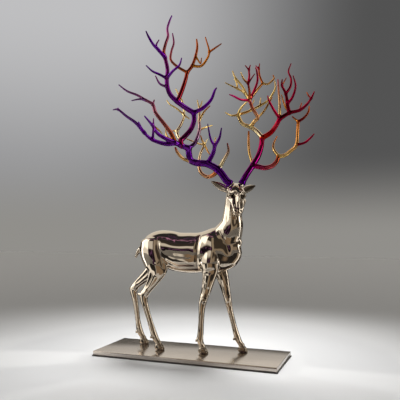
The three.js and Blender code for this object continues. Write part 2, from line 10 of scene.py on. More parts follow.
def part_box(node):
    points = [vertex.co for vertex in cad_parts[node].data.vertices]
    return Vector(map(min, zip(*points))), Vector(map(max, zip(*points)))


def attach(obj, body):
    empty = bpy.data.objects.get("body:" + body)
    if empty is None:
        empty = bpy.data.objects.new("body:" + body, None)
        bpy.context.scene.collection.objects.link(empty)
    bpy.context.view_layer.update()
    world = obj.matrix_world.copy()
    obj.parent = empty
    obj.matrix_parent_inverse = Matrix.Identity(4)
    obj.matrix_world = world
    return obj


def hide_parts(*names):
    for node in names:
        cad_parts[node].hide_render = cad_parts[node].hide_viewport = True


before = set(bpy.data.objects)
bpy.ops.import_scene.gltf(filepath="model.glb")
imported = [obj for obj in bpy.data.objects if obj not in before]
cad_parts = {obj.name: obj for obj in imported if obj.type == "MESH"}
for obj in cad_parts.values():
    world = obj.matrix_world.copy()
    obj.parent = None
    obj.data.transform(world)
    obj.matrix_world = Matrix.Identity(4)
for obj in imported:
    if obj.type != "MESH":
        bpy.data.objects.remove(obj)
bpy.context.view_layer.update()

# Sizes in metres. The stag's forms are in hundredths of its withers height, as they are in the solids.
WITHERS_HEIGHT = 1.0
STANCE_SHIFT_BACK = 0.030
BODY_GRAIN = 0.0055
LEFT_ANTLER_GRAIN = 0.0034
RIGHT_ANTLER_GRAIN = 0.0029
HEAD_TURN = math.radians(26)
FACE_TURN = math.radians(3)
FACE_LEAN = math.radians(5)
ANTLER_HEFT = 1.5
SEAT_GAP = 0.0003
BASE_EDGE_BEVEL = 0.0025
UNDER_EDGE_BEVEL = 0.0008
RELIEF_FADE = 0.25
PEDICLE_SHARE_OF_BEAM = 0.92
PEDICLE_DEPTH = 3.2
TINY = 1e-6

# How far the painted shade shows in the eyes, on the hooves, in the folds and in the ears, from 0 to 1. On
# the hooves and the feet it is a painted darker reflection.
EYE_DARKNESS = 0.6
HOOF_DARKNESS = 0.5
FOOT_DARKNESS = 0.45
FOLD_DARKNESS = 0.7
EAR_DARKNESS = 0.85

# Heights above the base, in metres, where the legs end and the head starts, how soon the full evening of
# the trunk sets in between them, and the share of it that the legs and the head get.
LEGS_END = 0.5
LEGS_FADE = 0.15
HEAD_START = 1.22
HEAD_FADE = 0.1
CRISP_SHARE = 0.15

BASE_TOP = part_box("base_plate")[1][2]
CROWN = (37.1, -0.6, 133.5)
STAG_PLACE = Matrix.Translation((0, STANCE_SHIFT_BACK, BASE_TOP)) @ Matrix.Scale(WITHERS_HEIGHT / 100, 4)
HEAD_PLACE = STAG_PLACE @ Matrix.Translation(CROWN) @ Matrix.Rotation(HEAD_TURN, 4, "Z")
FACE_PLACE = HEAD_PLACE @ Matrix.Rotation(FACE_TURN, 4, "Z") @ Matrix.Rotation(FACE_LEAN, 4, "Y")

CAP_ANGLES = [math.radians(angle) for angle in (80, 55, 28)]
ALONG = Vector((1, 0, 0))
ACROSS = Vector((0, 1, 0))
UP = Vector((0, 0, 1))

# Cards that only the metal sees, in a low ring and on a mat round the plate, in metres. Each card: from and
# to in degrees from the camera, positive to its right, and how it glows.
CARD_RADIUS = 1.6
CARD_HEIGHT_IN_FRONT = 0.54
CARD_HEIGHT_BEHIND = 0.17
MAT_INNER_RADIUS = 0.9
MAT_HEIGHT = 0.002
CARD_EDGE = 0.05
DARK_CARD = (0.02, 0.018, 0.016)
CARDS = [
    (-98, -76, (1.3, 1.27, 1.2)), (-50, -43, (0.85, 0.82, 0.76)), (-42, 12, (0.30, 0.215, 0.14)),
    (38, 54, (0.34, 0.28, 0.21)), (54, 70, (1.4, 1.35, 1.28)),
]

# Panels of the room that the metal mirrors, each over those before it: turn from the camera and rise, in
# degrees, softness of the edge and glow.
PANELS = [
    ((-80, -22), (13, 27), 3, (0.85, 0.81, 0.74)), ((-106, -62), (-20, 52), 3, (1.15, 1.12, 1.04)),
    ((-108, -64), (9, 42), 3, (2.4, 2.34, 2.18)), ((-17, 0), (-20, 42), 3, (0.42, 0.35, 0.27)),
    ((-2, 30), (-20, 8), 3, (0.33, 0.27, 0.20)), ((60, 80), (-20, 60), 3, (1.2, 1.16, 1.08)),
    ((58, 82), (9, 42), 3, (2.6, 2.5, 2.3)), ((95, 128), (-20, 50), 6, (0.14, 0.12, 0.10)),
]
CEILING = (0.035, 0.033, 0.036)

# Colours of the steel, as linear red, green, blue.
STEEL = (0.58, 0.50, 0.405)
# Painted shade: the dark brown that the steel is darkened towards in folds, pits, ear cups, eyes, hooves and
# feet.
PAINTED_SHADE_TONE = (0.07, 0.05, 0.035)
SATIN = (0.535, 0.48, 0.43)
WORN_SATIN = (0.47, 0.42, 0.375)
# Under plate colours: near black, with a lighter mottle.
UNDER_DARK_TONE = (0.042, 0.038, 0.034)
UNDER_WORN_TONE = (0.07, 0.062, 0.054)

CAMERA_PLACE = (1.564, -4.04, 1.044)
CAMERA_TILT = math.radians(92.81)
LENS_MM = 47.88
SENSOR_MM = 36
FLOOR_REACH = 14

# The way the camera looks and its right, level, for the surroundings that the metal mirrors.
VIEW_TURN = math.radians(20.27)
VIEW_AHEAD = Vector((-math.sin(VIEW_TURN), math.cos(VIEW_TURN), 0))
VIEW_RIGHT = Vector((math.cos(VIEW_TURN), math.sin(VIEW_TURN), 0))

# Trunk: along, top, bottom, half width. Neck and tail: along, across, up, half depth, half width.
TRUNK = [
    (-45.5, 86.5, 79, 3.5), (-43, 90, 73, 7), (-38, 94, 69, 9.8), (-30, 96.8, 66.5, 11),
    (-22, 96.7, 65.4, 11.3), (-13, 95.2, 63, 11.2), (-3, 95, 62, 11.4), (6, 95.2, 62.6, 11.3),
    (13, 96.8, 62.6, 10.8), (20, 99, 63.2, 9.8), (27, 100.5, 65.8, 8.2), (32.5, 100, 71, 6.2),
    (37, 97, 79, 4.2), (39.5, 93, 85, 2.2),
]
NECK = [
    (25, 0, 87.5, 11.5, 7.6), (29.8, 0, 94, 11.6, 7.6), (32.8, 0, 101, 9.6, 7.2), (33.6, 0, 108, 7.9, 6.3),
    (34, 0, 115, 6.9, 5.6), (34.4, -0.2, 121.5, 6.3, 5.2), (35.4, -0.6, 127, 5.6, 5),
    (36.4, -0.8, 131, 4.5, 4.6),
]
TAIL = [
    (-43.5, 0, 86, 1.6, 2), (-47.2, 0, 82.6, 1.5, 1.9), (-50.2, 0, 77.8, 1.4, 1.8), (-52.4, 0, 73.6, 0.8, 1),
]

# Legs: along, across from the middle of the body, up, half depth, half width.
NEAR_FORELEG = [
    (15, 6.6, 80, 9.5, 3.8), (16.5, 7.2, 72, 8.4, 4.2), (17.2, 7.4, 65, 6.8, 3.8),
    (16, 7.2, 58, 5.2, 3.4), (14.1, 7.2, 50, 4.1, 3), (12.2, 7.4, 44, 3.4, 2.8),
    (11, 7.5, 39.5, 3.1, 2.7), (10.4, 7.6, 34.5, 2.6, 2.4), (10.1, 7.7, 28, 2.3, 2.1),
    (9.7, 7.8, 21, 2.3, 2), (9.4, 7.9, 15, 2.5, 2.2), (9.1, 8, 11, 2.7, 2.5), (10, 8, 7.5, 2.3, 2.3),
    (11.5, 8, 4.8, 2.4, 2.5),
]
FAR_FORELEG = [
    (16, 6.4, 80, 9.5, 3.6), (18, 7, 72, 8.2, 4), (20.5, 7.2, 65, 6.6, 3.6), (23, 7.2, 59, 5.2, 3.3),
    (25.3, 7.2, 50.5, 4, 2.9), (26.7, 7.4, 44.5, 3.3, 2.7), (27.9, 7.5, 39, 2.9, 2.6),
    (29.2, 7.6, 33, 2.4, 2.2), (30.8, 7.7, 26.5, 2.2, 2), (32.5, 7.8, 20, 2.2, 1.9),
    (34, 7.9, 14.5, 2.4, 2.1), (35.2, 8, 10.8, 2.6, 2.4), (37.2, 8, 7.2, 2.2, 2.2),
    (39.2, 8, 4.6, 2.3, 2.4),
]
NEAR_HIND_LEG = [
    (-33, 6.2, 88, 11, 4.4), (-32.5, 7, 80, 11.8, 5), (-30, 7.4, 72, 11.2, 4.8),
    (-28.8, 7.6, 65, 9.2, 4.2), (-30.8, 7.6, 59, 6.6, 3.5), (-34, 7.6, 53, 4.6, 2.9),
    (-37.4, 7.6, 48, 3.5, 2.6), (-40.3, 7.7, 43.5, 3.7, 2.6), (-40.2, 7.7, 39, 3.1, 2.3),
    (-38.7, 7.8, 34, 2.6, 2), (-36.5, 7.8, 27.5, 2.4, 1.9), (-34, 7.9, 20.5, 2.4, 1.9),
    (-32, 8, 15, 2.6, 2.2), (-30.5, 8, 10.8, 2.8, 2.5), (-28.3, 8, 7.4, 2.3, 2.3),
    (-26.2, 8, 4.7, 2.3, 2.5),
]
FAR_HIND_LEG = [
    (-33, 6, 88, 10.5, 4.2), (-33.5, 6.8, 80, 11.2, 4.8), (-34, 7.2, 72, 10, 4.5),
    (-38, 7.4, 65, 7.8, 3.8), (-44, 7.5, 59, 5.4, 3.1), (-50, 7.6, 54, 4, 2.7),
    (-55, 7.6, 49.7, 3.4, 2.5), (-57.8, 7.7, 45.5, 3.6, 2.5), (-57.2, 7.7, 40.5, 2.9, 2.2),
    (-56, 7.8, 35, 2.4, 2), (-54.8, 7.8, 27.5, 2.2, 1.9), (-53.8, 7.9, 20, 2.2, 1.9),
    (-52.8, 8, 14.5, 2.5, 2.2), (-51.8, 8, 10.5, 2.8, 2.5), (-49.8, 8, 7.2, 2.3, 2.3),
    (-48, 8, 4.6, 2.3, 2.4),
]

# In the head's axes. Skull: back, up, half depth, half width. Ear: across, back, up, half thickness,
# half width, cup.
SKULL = [
    (4.8, -2, 2.6, 3.2), (3, -2.8, 4.4, 5), (0, -4.6, 5.5, 6.3), (-3.5, -8.2, 5.9, 7.3),
    (-6.8, -12.2, 5.4, 6.8), (-9.6, -16.2, 4.4, 5.4), (-12, -19.8, 3.6, 4.5), (-13.8, -22.5, 3.2, 4.1),
    (-14.8, -24, 2.4, 3.2),
]
EAR = [
    (4.6, 1.5, -5.4, 1.4, 1.7, 0), (7.4, 3, -4.4, 1.1, 2.6, 0.6), (10, 4.9, -3, 0.75, 3.3, 1.1),
    (13, 7.2, -1.4, 0.6, 3.1, 1.1), (16, 9.5, 0.2, 0.5, 2.1, 0.6), (18.6, 11.6, 1.8, 0.35, 0.6, 0),
]
# Dewclaw, from the fetlock: along, up, radius.
DEWCLAW = [(-1.5, 0.6, 0.95), (-2.5, -0.5, 0.9), (-3.1, -1.5, 0.6)]

# Claw from heel to toe, measured from the coronet above it: along, up, half depth, half width.
CLAW = [(-2.6, 1.6, 1.6, 1), (-1, 2.4, 3, 1.35), (1, 2, 2.6, 1.3), (2.5, 1, 1.7, 1), (3.5, 0.5, 1, 0.6)]
CLAW_SPREAD = 1.4
DEWCLAW_SPREAD = 1.3

# Antler branches in the head's axes: name, what it grows from and at which point, thickness at root and
# tip, path as across, back, up.
LEFT_ANTLER = [
    ("beam", None, 4.1, 3.3, [(-4.5, 0, 0), (-8, 0.5, 3.5), (-14, 3, 11.7), (-22.5, 6, 16.8),
      (-30.5, 8, 17.8), (-35.8, 8, 20), (-37.2, 7, 25), (-37.6, 6, 29.3)]),
    ("front_palm", ("beam", 7), 3.3, 1, [(-43.5, 5, 31.2), (-48.5, 3, 33), (-61.5, -2, 38.5),
      (-67, -5, 45.5), (-73.5, -8, 52.5)]),
    ("low_palm", ("front_palm", 2), 2.8, 1, [(-56, 1, 31.8), (-66.5, -3, 34.2), (-73, -6, 39.2),
      (-78, -10, 47.5)]),
    ("low_reach", ("low_palm", 3), 2, 0.8, [(-79.5, -3, 47.2), (-87, 0, 53), (-93.5, 2, 58.5),
      (-98.5, 3, 58.5)]),
    ("low_reach_fork", ("low_reach", 3), 1.1, 0.8, [(-94, 4, 61)]),
    ("low_spike", ("low_palm", 2), 1.5, 0.8, [(-66, -5, 43), (-66, -4, 51.5)]),
    ("low_stay", ("beam", 4), 1.8, 1.5, [(-41, 7, 20.5), (-46.5, 5, 25.5), (-49, 3, 30.5)]),
    ("rear_twig", ("front_palm", 4), 1.2, 0.7, [(-62.5, -1, 43), (-58.5, 3, 40)]),
    ("rear_post", ("front_palm", 2), 1.3, 0.8, [(-55, 7, 39), (-56, 11, 46)]),
    ("left_arm", ("front_palm", 2), 2.5, 0.9, [(-52, 4, 41), (-57.5, 4, 48.5), (-64, 5, 57),
      (-66.5, 5, 64), (-72, 6, 67.5), (-79, 8, 72), (-87, 10, 75.5), (-94.5, 12, 81.5)]),
    ("left_arm_spike", ("left_arm", 4), 1.3, 0.9, [(-65, 8, 69)]),
    ("left_arm_side", ("left_arm", 5), 1.3, 0.8, [(-77, 5, 68), (-84, 3, 66)]),
    ("cross_tine", ("beam", 7), 2.4, 0.8, [(-32, 7, 34.5), (-28.5, 10, 45), (-28.5, 13, 53),
      (-28, 16, 62), (-29.5, 19, 72.5)]),
    ("cross_fork_a", ("cross_tine", 4), 1.2, 0.7, [(-25, 20, 72)]),
    ("cross_fork_b", ("cross_tine", 3), 1.4, 0.8, [(-24.5, 13, 60.5), (-19, 11, 66)]),
    ("cross_side", ("cross_tine", 2), 1.2, 0.8, [(-23, 14, 48), (-16.5, 17, 50.5)]),
    ("stem", ("front_palm", 1), 2.9, 2.5, [(-44, 5, 35), (-41.5, 6, 38), (-36, 7, 44.5),
      (-33.3, 6, 51.5), (-33.6, 5, 58)]),
    ("stem_right", ("stem", 5), 2.4, 0.9, [(-26, 4, 62), (-20, 1, 68), (-17.5, -2, 74.5),
      (-15.5, -3, 77.5)]),
    ("stem_left", ("stem", 5), 2.9, 1.9, [(-40, 4, 61.5), (-47, 2, 66), (-52.5, 1, 71), (-55, 0, 77),
      (-55.5, 0, 84), (-55, 0, 91.5), (-57, -1, 100.5)]),
    ("small_left", ("stem_left", 4), 1.5, 0.8, [(-61, -2, 79), (-65, -5, 85)]),
    ("crescent_left", ("stem_left", 5), 1.6, 0.8, [(-61.5, -2, 86.5), (-67, -5, 88), (-72.5, -8, 92)]),
    ("crescent_right", ("stem_left", 5), 1.7, 0.8, [(-51, -3, 89), (-46, -6, 93), (-44, -8, 99)]),
    ("top_left", ("stem_left", 7), 2, 0.9, [(-62, -4, 105), (-66.5, -6, 109), (-70, -8, 114),
      (-72.5, -9, 119)]),
    ("top_left_spike", ("top_left", 1), 1.2, 0.8, [(-64, -4, 109), (-61.5, -3, 114.5)]),
    ("top_peak", ("stem_left", 7), 1.9, 0.9, [(-58, -1, 105), (-56.5, 2, 112.5), (-54.5, 4, 119.5),
      (-55, 5, 126), (-53.3, 6, 132.5), (-51, 7, 138.4)]),
    ("right_stem", ("stem_left", 2), 2.5, 1.1, [(-43, 4, 76), (-40, 7, 85.5), (-38.5, 8, 91.5),
      (-34.5, 9, 97.5), (-31.5, 11, 106.5), (-30, 13, 114.5), (-30.5, 14, 122.5)]),
    ("link", ("right_stem", 3), 1.6, 0.9, [(-46.5, 8, 96), (-52, 8, 101.5), (-51.5, 9, 109),
      (-49.5, 11, 116.5), (-50.5, 13, 126)]),
    ("right_bow", ("right_stem", 4), 1.6, 0.9, [(-28, 8, 97), (-24, 6, 100.5), (-21, 5, 108),
      (-24, 8, 122)]),
    ("right_bow_fork", ("right_bow", 3), 1.2, 0.8, [(-16.5, 2, 110.5), (-11, 0, 114)]),
    ("right_v", ("right_stem", 5), 1, 0.8, [(-28, 8, 99.5), (-27, 6, 104)]),
    ("rear_stem", ("stem", 1), 1.9, 0.8, [(-46, 9, 39.5), (-46.5, 11, 44), (-43, 14, 50.5),
      (-40.5, 17, 58.5), (-41.5, 20, 69.5), (-45, 22, 77), (-47.5, 23, 82.5)]),
    ("rear_stub", ("rear_stem", 2), 1.4, 0.9, [(-51, 13, 44.5)]),
    ("rear_bow", ("rear_stem", 4), 1.1, 0.7, [(-46.5, 20, 64.5), (-52, 23, 68.5), (-55, 25, 73)]),
    ("rear_cross", ("rear_stem", 4), 1, 0.8, [(-35.5, 15, 54.5)]),
    ("bez", ("beam", 3), 2.6, 1.9, [(-18, 4, 25.5), (-17, 2, 31)]),
    ("bez_left", ("bez", 2), 1.6, 0.8, [(-20.5, 0, 36), (-23.5, -4, 48)]),
    ("bez_right", ("bez", 2), 1.9, 0.9, [(-13.5, 0, 37), (-12, -3, 45.5)]),
    ("bez_rear", ("bez", 2), 1, 0.7, [(-16, 5, 39)]),
    ("brow", ("beam", 2), 2.4, 1, [(-9.8, 2, 19.5), (-6.3, 0, 26.5), (-7.5, -2, 33.5)]),
    ("rear_loop", ("beam", 2), 2.4, 0.9, [(-18, 6, 7.8), (-22.5, 9, 6.8), (-27.2, 12, 10.5),
      (-28.6, 14, 17), (-27.8, 15, 23.5), (-26.3, 16, 28.5), (-23.5, 17, 34), (-20.5, 19, 40)]),
    ("rear_x", ("rear_loop", 7), 1.2, 0.8, [(-26, 15, 38), (-27.5, 12, 41.5)]),
    ("rear_y", ("rear_loop", 7), 1.2, 0.8, [(-22, 12, 29), (-20, 8, 24.5)]),
    ("rear_arc", ("rear_loop", 7), 1, 0.7, [(-28.5, 15, 34.5), (-34.5, 13, 36.5), (-40.5, 12, 38.5)]),
]
RIGHT_ANTLER = [
    ("beam", None, 3.6, 2.7, [(4.2, 0, 0.3), (7.7, 0.5, 6.8), (14, 3, 15.8), (19, 6, 23.5),
      (22, 8, 31.5), (23, 8, 39)]),
    ("right_arm", ("beam", 5), 2.9, 2.3, [(29.5, 7, 43), (33.5, 6, 48), (37, 5, 54.5)]),
    ("arm_left", ("right_arm", 3), 1.7, 0.8, [(31.5, 3, 61.5), (27, 0, 68), (25, -3, 72)]),
    ("arm_right", ("right_arm", 3), 2.4, 0.9, [(45, 5, 59.5), (53, 3, 61.5), (58, 0, 65.5),
      (61, -3, 70), (63.5, -5, 76)]),
    ("arm_right_fork", ("arm_right", 4), 1.2, 0.8, [(60, 1, 73.5), (59, 3, 77)]),
    ("arm_right_spike", ("arm_right", 2), 1.1, 0.8, [(56, 6, 69)]),
    ("post", ("arm_right", 1), 2.2, 0.9, [(43.5, 5, 67), (42, 4, 75), (38, 1, 81), (37.5, -2, 86)]),
    ("post_right", ("post", 2), 1.6, 0.8, [(46.5, 6, 82), (47.5, 8, 89), (46, 10, 95.5), (49, 12, 103.5)]),
    ("post_front", ("post", 1), 1.7, 0.8, [(47, 2, 72), (48.5, -2, 80), (45.5, -5, 88.5)]),
    ("post_tip", ("post", 3), 1, 0.7, [(43, 5, 89)]),
    ("gold_post", ("right_arm", 3), 1.7, 0.8, [(38, 9, 68), (38.5, 14, 80.5), (39, 18, 91.5)]),
    ("orange_post", ("arm_right", 1), 1.3, 0.8, [(42.5, 9, 66), (40.5, 13, 77)]),
    ("loop", ("beam", 2), 2.9, 2.2, [(19, 2, 14.5), (23.5, 0, 13.5), (29, -1, 15), (32.7, -1, 18.8),
      (34.5, 0, 23)]),
    ("loop_up", ("loop", 5), 1.8, 0.8, [(31.5, 3, 28.5), (32, 6, 34), (36, 9, 41.5)]),
    ("loop_out", ("loop", 5), 2.2, 1.6, [(39, -2, 23.5), (43.5, -4, 27), (47.5, -6, 31.5), (49, -5, 43),
      (49.5, -5, 50.5)]),
    ("loop_tine", ("loop_out", 3), 1.5, 0.8, [(53.5, -9, 33), (57.5, -12, 36.5), (60.5, -13, 40)]),
    ("loop_left", ("loop_out", 5), 1.4, 0.9, [(44.5, -3, 55.5)]),
    ("loop_hook", ("loop_out", 5), 1.6, 0.9, [(54, -6, 53.5), (57.5, -6, 58), (59, -5, 64)]),
    ("gold_arm", ("beam", 5), 2.6, 1.9, [(19.5, 11, 44.5), (14.5, 14, 49), (8, 16, 52), (4.5, 17, 59.5)]),
    ("gold_left", ("gold_arm", 4), 1.3, 0.8, [(-1.5, 15, 58.5), (-7.5, 12, 60.5)]),
    ("gold_up", ("gold_arm", 4), 1.3, 1, [(6.5, 15, 64.5), (11.5, 9, 70)]),
    ("gold_across", ("gold_arm", 4), 1.7, 0.8, [(15.5, 20, 64), (24.5, 22, 69), (30.7, 21.5, 73),
      (34.7, 19.5, 78.5), (36.5, 17, 83.5), (35, 14, 89)]),
    ("across_spike_a", ("gold_across", 1), 1, 0.7, [(19.5, 22, 74.5)]),
    ("across_spike_b", ("gold_across", 2), 1, 0.7, [(25.5, 24, 77)]),
    ("middle", ("gold_arm", 2), 2.2, 1.6, [(17, 10, 53), (19.5, 9, 56), (15, 8, 63.5), (12.5, 8, 70)]),
    ("middle_right", ("middle", 2), 1.4, 0.8, [(25.5, 13, 62), (30, 15, 69), (34, 17, 75.5)]),
    ("middle_tine", ("middle", 4), 1.5, 0.8, [(5, 5, 69.5), (-1.5, 2, 71.5), (-6, 0, 72.5)]),
    ("inner_post", ("beam", 2), 1.5, 1.3, [(12.5, 9, 26.5), (12.5, 12, 34.5), (13, 14, 46.5)]),
    ("fan_a", ("middle", 4), 1.5, 0.8, [(8.5, 11, 77), (3.5, 13, 80.5), (-7, 16, 86.5)]),
    ("fan_a_twig", ("fan_a", 2), 1, 0.8, [(3, 14, 85.5), (1, 15, 90)]),
    ("fan_b", ("middle", 4), 1.5, 0.8, [(7.5, 10, 81), (3.5, 12, 87), (1, 13, 91), (-0.5, 15, 96.5)]),
    ("fan_c", ("middle", 4), 1.6, 1.1, [(12, 5, 76), (10.5, 3, 82.5)]),
    ("fan_c_left", ("fan_c", 2), 1.3, 0.8, [(6.5, 1, 85.5), (3.5, -1, 91)]),
    ("fan_c_mid", ("fan_c", 2), 1.3, 0.8, [(11.5, 3, 88.5), (11.5, 4, 94), (13, 5, 99)]),
    ("fan_c_fork", ("fan_c_mid", 2), 1, 0.7, [(7.5, 2, 97.5)]),
    ("fan_c_right", ("fan_c", 2), 1.1, 0.7, [(15.5, -1, 90)]),
    ("fan_d", ("middle", 4), 1.6, 0.8, [(16.5, 6, 78.5), (18.5, 4, 85.5), (17.5, 2, 92.5), (16, 1, 96)]),
    ("fan_e", ("middle", 4), 1.8, 1.2, [(18, 11, 77.5), (25, 14, 86)]),
    ("fan_e_up", ("fan_e", 2), 1.3, 0.7, [(23, 16, 92.5), (22.5, 17, 99), (23.5, 18, 104.5)]),
    ("fan_e_fork", ("fan_e_up", 2), 1, 0.7, [(20, 20, 103)]),
    ("fan_e_right", ("fan_e", 2), 1.3, 0.8, [(29, 12, 85), (33.5, 10, 89), (32.5, 9, 92.5)]),
]

# Burr at the foot of each beam: how far along the beam, share of its radius. A free tip ends short by a
# share of its radius, and narrows to another.
BURR = [(0.1, 1.03), (0.6, 1.12), (1.3, 1.1), (2.0, 1.0)]
TIP_PULL = 1.5
TIP_SHARE = 0.75

# How the skin finds the branches: stretches in each span of a path, stretches tried for a point, and how
# far the web between two branches reaches, in metres.
CHAIN_STEPS = 6
NEAR_STRETCHES = 24
WEB_REACH = 0.011

# A branch whose first step goes back or forward further than this takes its width from another axis.
BACKWARD = 4

# Colours of the plating, as linear red, green, blue.
VIOLET = (0.17, 0.02, 0.36)
DEEP_VIOLET = (0.10, 0.012, 0.23)
LILAC = (0.30, 0.11, 0.42)
PLUM = (0.20, 0.02, 0.15)
WINE = (0.26, 0.01, 0.03)
CRIMSON = (0.50, 0.012, 0.06)
MAGENTA = (0.46, 0.015, 0.18)
RED = (0.58, 0.035, 0.02)
RUST = (0.55, 0.14, 0.03)
ORANGE = (0.80, 0.34, 0.06)
GOLD = (0.98, 0.71, 0.27)
PALE_GOLD = (1.0, 0.88, 0.54)

# Plating colour of each branch at its root and its tip, where it isn't gold all along.
LEFT_PLATING = {
    "beam": (DEEP_VIOLET, VIOLET), "front_palm": (VIOLET, VIOLET), "low_palm": (VIOLET, VIOLET),
    "low_reach": (DEEP_VIOLET, LILAC), "low_reach_fork": (LILAC, LILAC), "low_spike": (VIOLET, PLUM),
    "low_stay": (GOLD, WINE), "rear_twig": (RUST, GOLD), "left_arm": (RUST, LILAC),
    "left_arm_spike": (PLUM, WINE), "left_arm_side": (LILAC, LILAC), "cross_tine": (VIOLET, GOLD),
    "cross_fork_b": (GOLD, RUST), "stem": (WINE, DEEP_VIOLET), "stem_right": (VIOLET, VIOLET),
    "stem_left": (VIOLET, PLUM), "small_left": (LILAC, PLUM), "crescent_left": (DEEP_VIOLET, DEEP_VIOLET),
    "crescent_right": (VIOLET, VIOLET), "top_left": (VIOLET, DEEP_VIOLET),
    "top_left_spike": (VIOLET, PLUM), "top_peak": (RUST, VIOLET), "right_stem": (WINE, RUST),
    "link": (RUST, PLUM), "right_bow": (ORANGE, RUST), "right_bow_fork": (RUST, RUST),
    "right_v": (ORANGE, RUST), "rear_stem": (PALE_GOLD, GOLD), "rear_stub": (GOLD, RUST),
    "bez": (DEEP_VIOLET, VIOLET), "bez_left": (VIOLET, DEEP_VIOLET), "bez_right": (VIOLET, DEEP_VIOLET),
    "brow": (PALE_GOLD, WINE), "rear_loop": (RUST, PALE_GOLD), "rear_x": (GOLD, RUST),
    "rear_y": (GOLD, RUST),
}
RIGHT_PLATING = {
    "beam": (DEEP_VIOLET, CRIMSON), "right_arm": (RED, CRIMSON), "arm_left": (CRIMSON, CRIMSON),
    "arm_right": (WINE, WINE), "arm_right_fork": (WINE, RUST), "arm_right_spike": (WINE, RUST),
    "post": (WINE, WINE), "post_right": (WINE, WINE), "post_front": (CRIMSON, WINE),
    "post_tip": (RUST, WINE), "gold_post": (GOLD, CRIMSON), "orange_post": (ORANGE, ORANGE),
    "loop": (MAGENTA, RUST), "loop_up": (GOLD, RUST), "loop_out": (GOLD, RUST),
    "loop_tine": (WINE, CRIMSON), "loop_left": (ORANGE, WINE), "loop_hook": (WINE, RUST),
    "gold_arm": (PALE_GOLD, GOLD), "middle": (GOLD, CRIMSON), "middle_right": (GOLD, RUST),
    "middle_tine": (CRIMSON, MAGENTA), "inner_post": (GOLD, RUST), "fan_c": (RUST, WINE),
    "fan_c_left": (WINE, GOLD), "fan_c_mid": (CRIMSON, WINE), "fan_c_fork": (WINE, WINE),
    "fan_c_right": (WINE, WINE), "fan_d": (CRIMSON, CRIMSON), "fan_e": (GOLD, RUST),
    "fan_e_up": (RUST, WINE), "fan_e_fork": (WINE, WINE), "fan_e_right": (GOLD, RUST),
}


def smooth_rows(rows, steps):
    """A smooth run through all the rows of numbers, with a number of steps in each span."""
    rows = np.asarray(rows, dtype=float)
    padded = np.vstack([2 * rows[0] - rows[1], rows, 2 * rows[-1] - rows[-2]])
    made = []
    for i in range(len(rows) - 1):
        p0, p1, p2, p3 = padded[i:i + 4]
        for step in range(steps):
            t = step / steps
            made.append(0.5 * (2 * p1 + (p2 - p0) * t + (2 * p0 - 5 * p1 + 4 * p2 - p3) * t ** 2
                               + (3 * p1 - p0 - 3 * p2 + p3) * t ** 3))
    made.append(rows[-1])
    return np.array(made)


def add_skin(target, rows, place, wide, sides=20, steps=4, round_start=0.7, round_end=0.7):
    """Adds a closed skin through oval rings: x, y, z, half depth, half width and cup, in place's axes."""
    rows = smooth_rows([tuple(row) + (0,) * (6 - len(row)) for row in rows], steps)
    centres = [Vector(row[:3]) for row in rows]
    last = len(rows) - 1
    width = wide.copy()
    piece = bmesh.new()
    loops = []

    def add_ring(centre, along, deep, half, cup):
        depth_axis = along.cross(width)
        turn = Matrix((width * half, depth_axis * deep, along)).transposed().to_4x4()
        ring = bmesh.ops.create_circle(
            piece, cap_ends=False, segments=sides, radius=1, matrix=Matrix.Translation(centre) @ turn)
        verts = ring["verts"]
        if cup:
            for vert in verts:
                across = (vert.co - centre).dot(width) / half
                vert.co += depth_axis * cup * across ** 2
        loops.append(list({edge for vert in verts for edge in vert.link_edges}))

    for i, row in enumerate(rows):
        along = (centres[min(i + 1, last)] - centres[max(i - 1, 0)]).normalized()
        width -= along * width.dot(along)
        width.normalize()
        deep, half, cup = row[3:]
        reach = min(deep, half)
        caps = [(math.sin(angle) * reach, math.cos(angle)) for angle in CAP_ANGLES]
        if i == 0 and round_start:
            for shift, share in caps:
                centre = centres[i] - along * shift * round_start
                add_ring(centre, along, deep * share, half * share, cup * share)
        add_ring(centres[i], along, deep, half, cup)
        if i == last and round_end:
            for shift, share in reversed(caps):
                centre = centres[i] + along * shift * round_end
                add_ring(centre, along, deep * share, half * share, cup * share)
    for first, second in zip(loops, loops[1:]):
        bmesh.ops.bridge_loops(piece, edges=first + second)
    bmesh.ops.holes_fill(piece, edges=loops[0] + loops[-1], sides=0)
    bmesh.ops.transform(piece, matrix=place, verts=piece.verts)
    bmesh.ops.recalc_face_normals(piece, faces=piece.faces)
    held = bpy.data.meshes.new("held")
    piece.to_mesh(held)
    piece.free()
    target.from_mesh(held)
    bpy.data.meshes.remove(held)


def new_object(name, mesh, material):
    piece = bpy.data.objects.new(name, mesh)
    bpy.context.scene.collection.objects.link(piece)
    mesh.materials.clear()
    mesh.materials.append(material)
    mesh.shade_smooth()
    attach(piece, "root")
    return piece


def mesh_from(piece, name):
    mesh = bpy.data.meshes.new(name)
    piece.to_mesh(mesh)
    piece.free()
    return mesh


def fused(piece, name, grain):
    """Melts the overlapping skins into one even skin, with faces about as large as grain."""
    holder = bpy.data.objects.new(name + "_lumps", mesh_from(piece, name))
    bpy.context.scene.collection.objects.link(holder)
    melt = holder.modifiers.new("melt", "REMESH")
    melt.mode = "VOXEL"
    melt.voxel_size = grain
    ready = holder.evaluated_get(bpy.context.evaluated_depsgraph_get())
    mesh = bpy.data.meshes.new_from_object(ready)
    bpy.data.objects.remove(holder)
    return mesh


def points_of(mesh):
    points = np.empty(len(mesh.vertices) * 3)
    mesh.vertices.foreach_get("co", points)
    return points.reshape(-1, 3)


def set_points(mesh, points):
    mesh.vertices.foreach_set("co", points.ravel())
    mesh.update()


def normals_of(mesh, points):
    set_points(mesh, points)
    normals = np.empty(len(mesh.vertices) * 3)
    mesh.vertex_normals.foreach_get("vector", normals)
    return normals.reshape(-1, 3)


def edges_of(mesh):
    edges = np.empty(len(mesh.edges) * 2, dtype=np.int64)
    mesh.edges.foreach_get("vertices", edges)
    return edges.reshape(-1, 2)


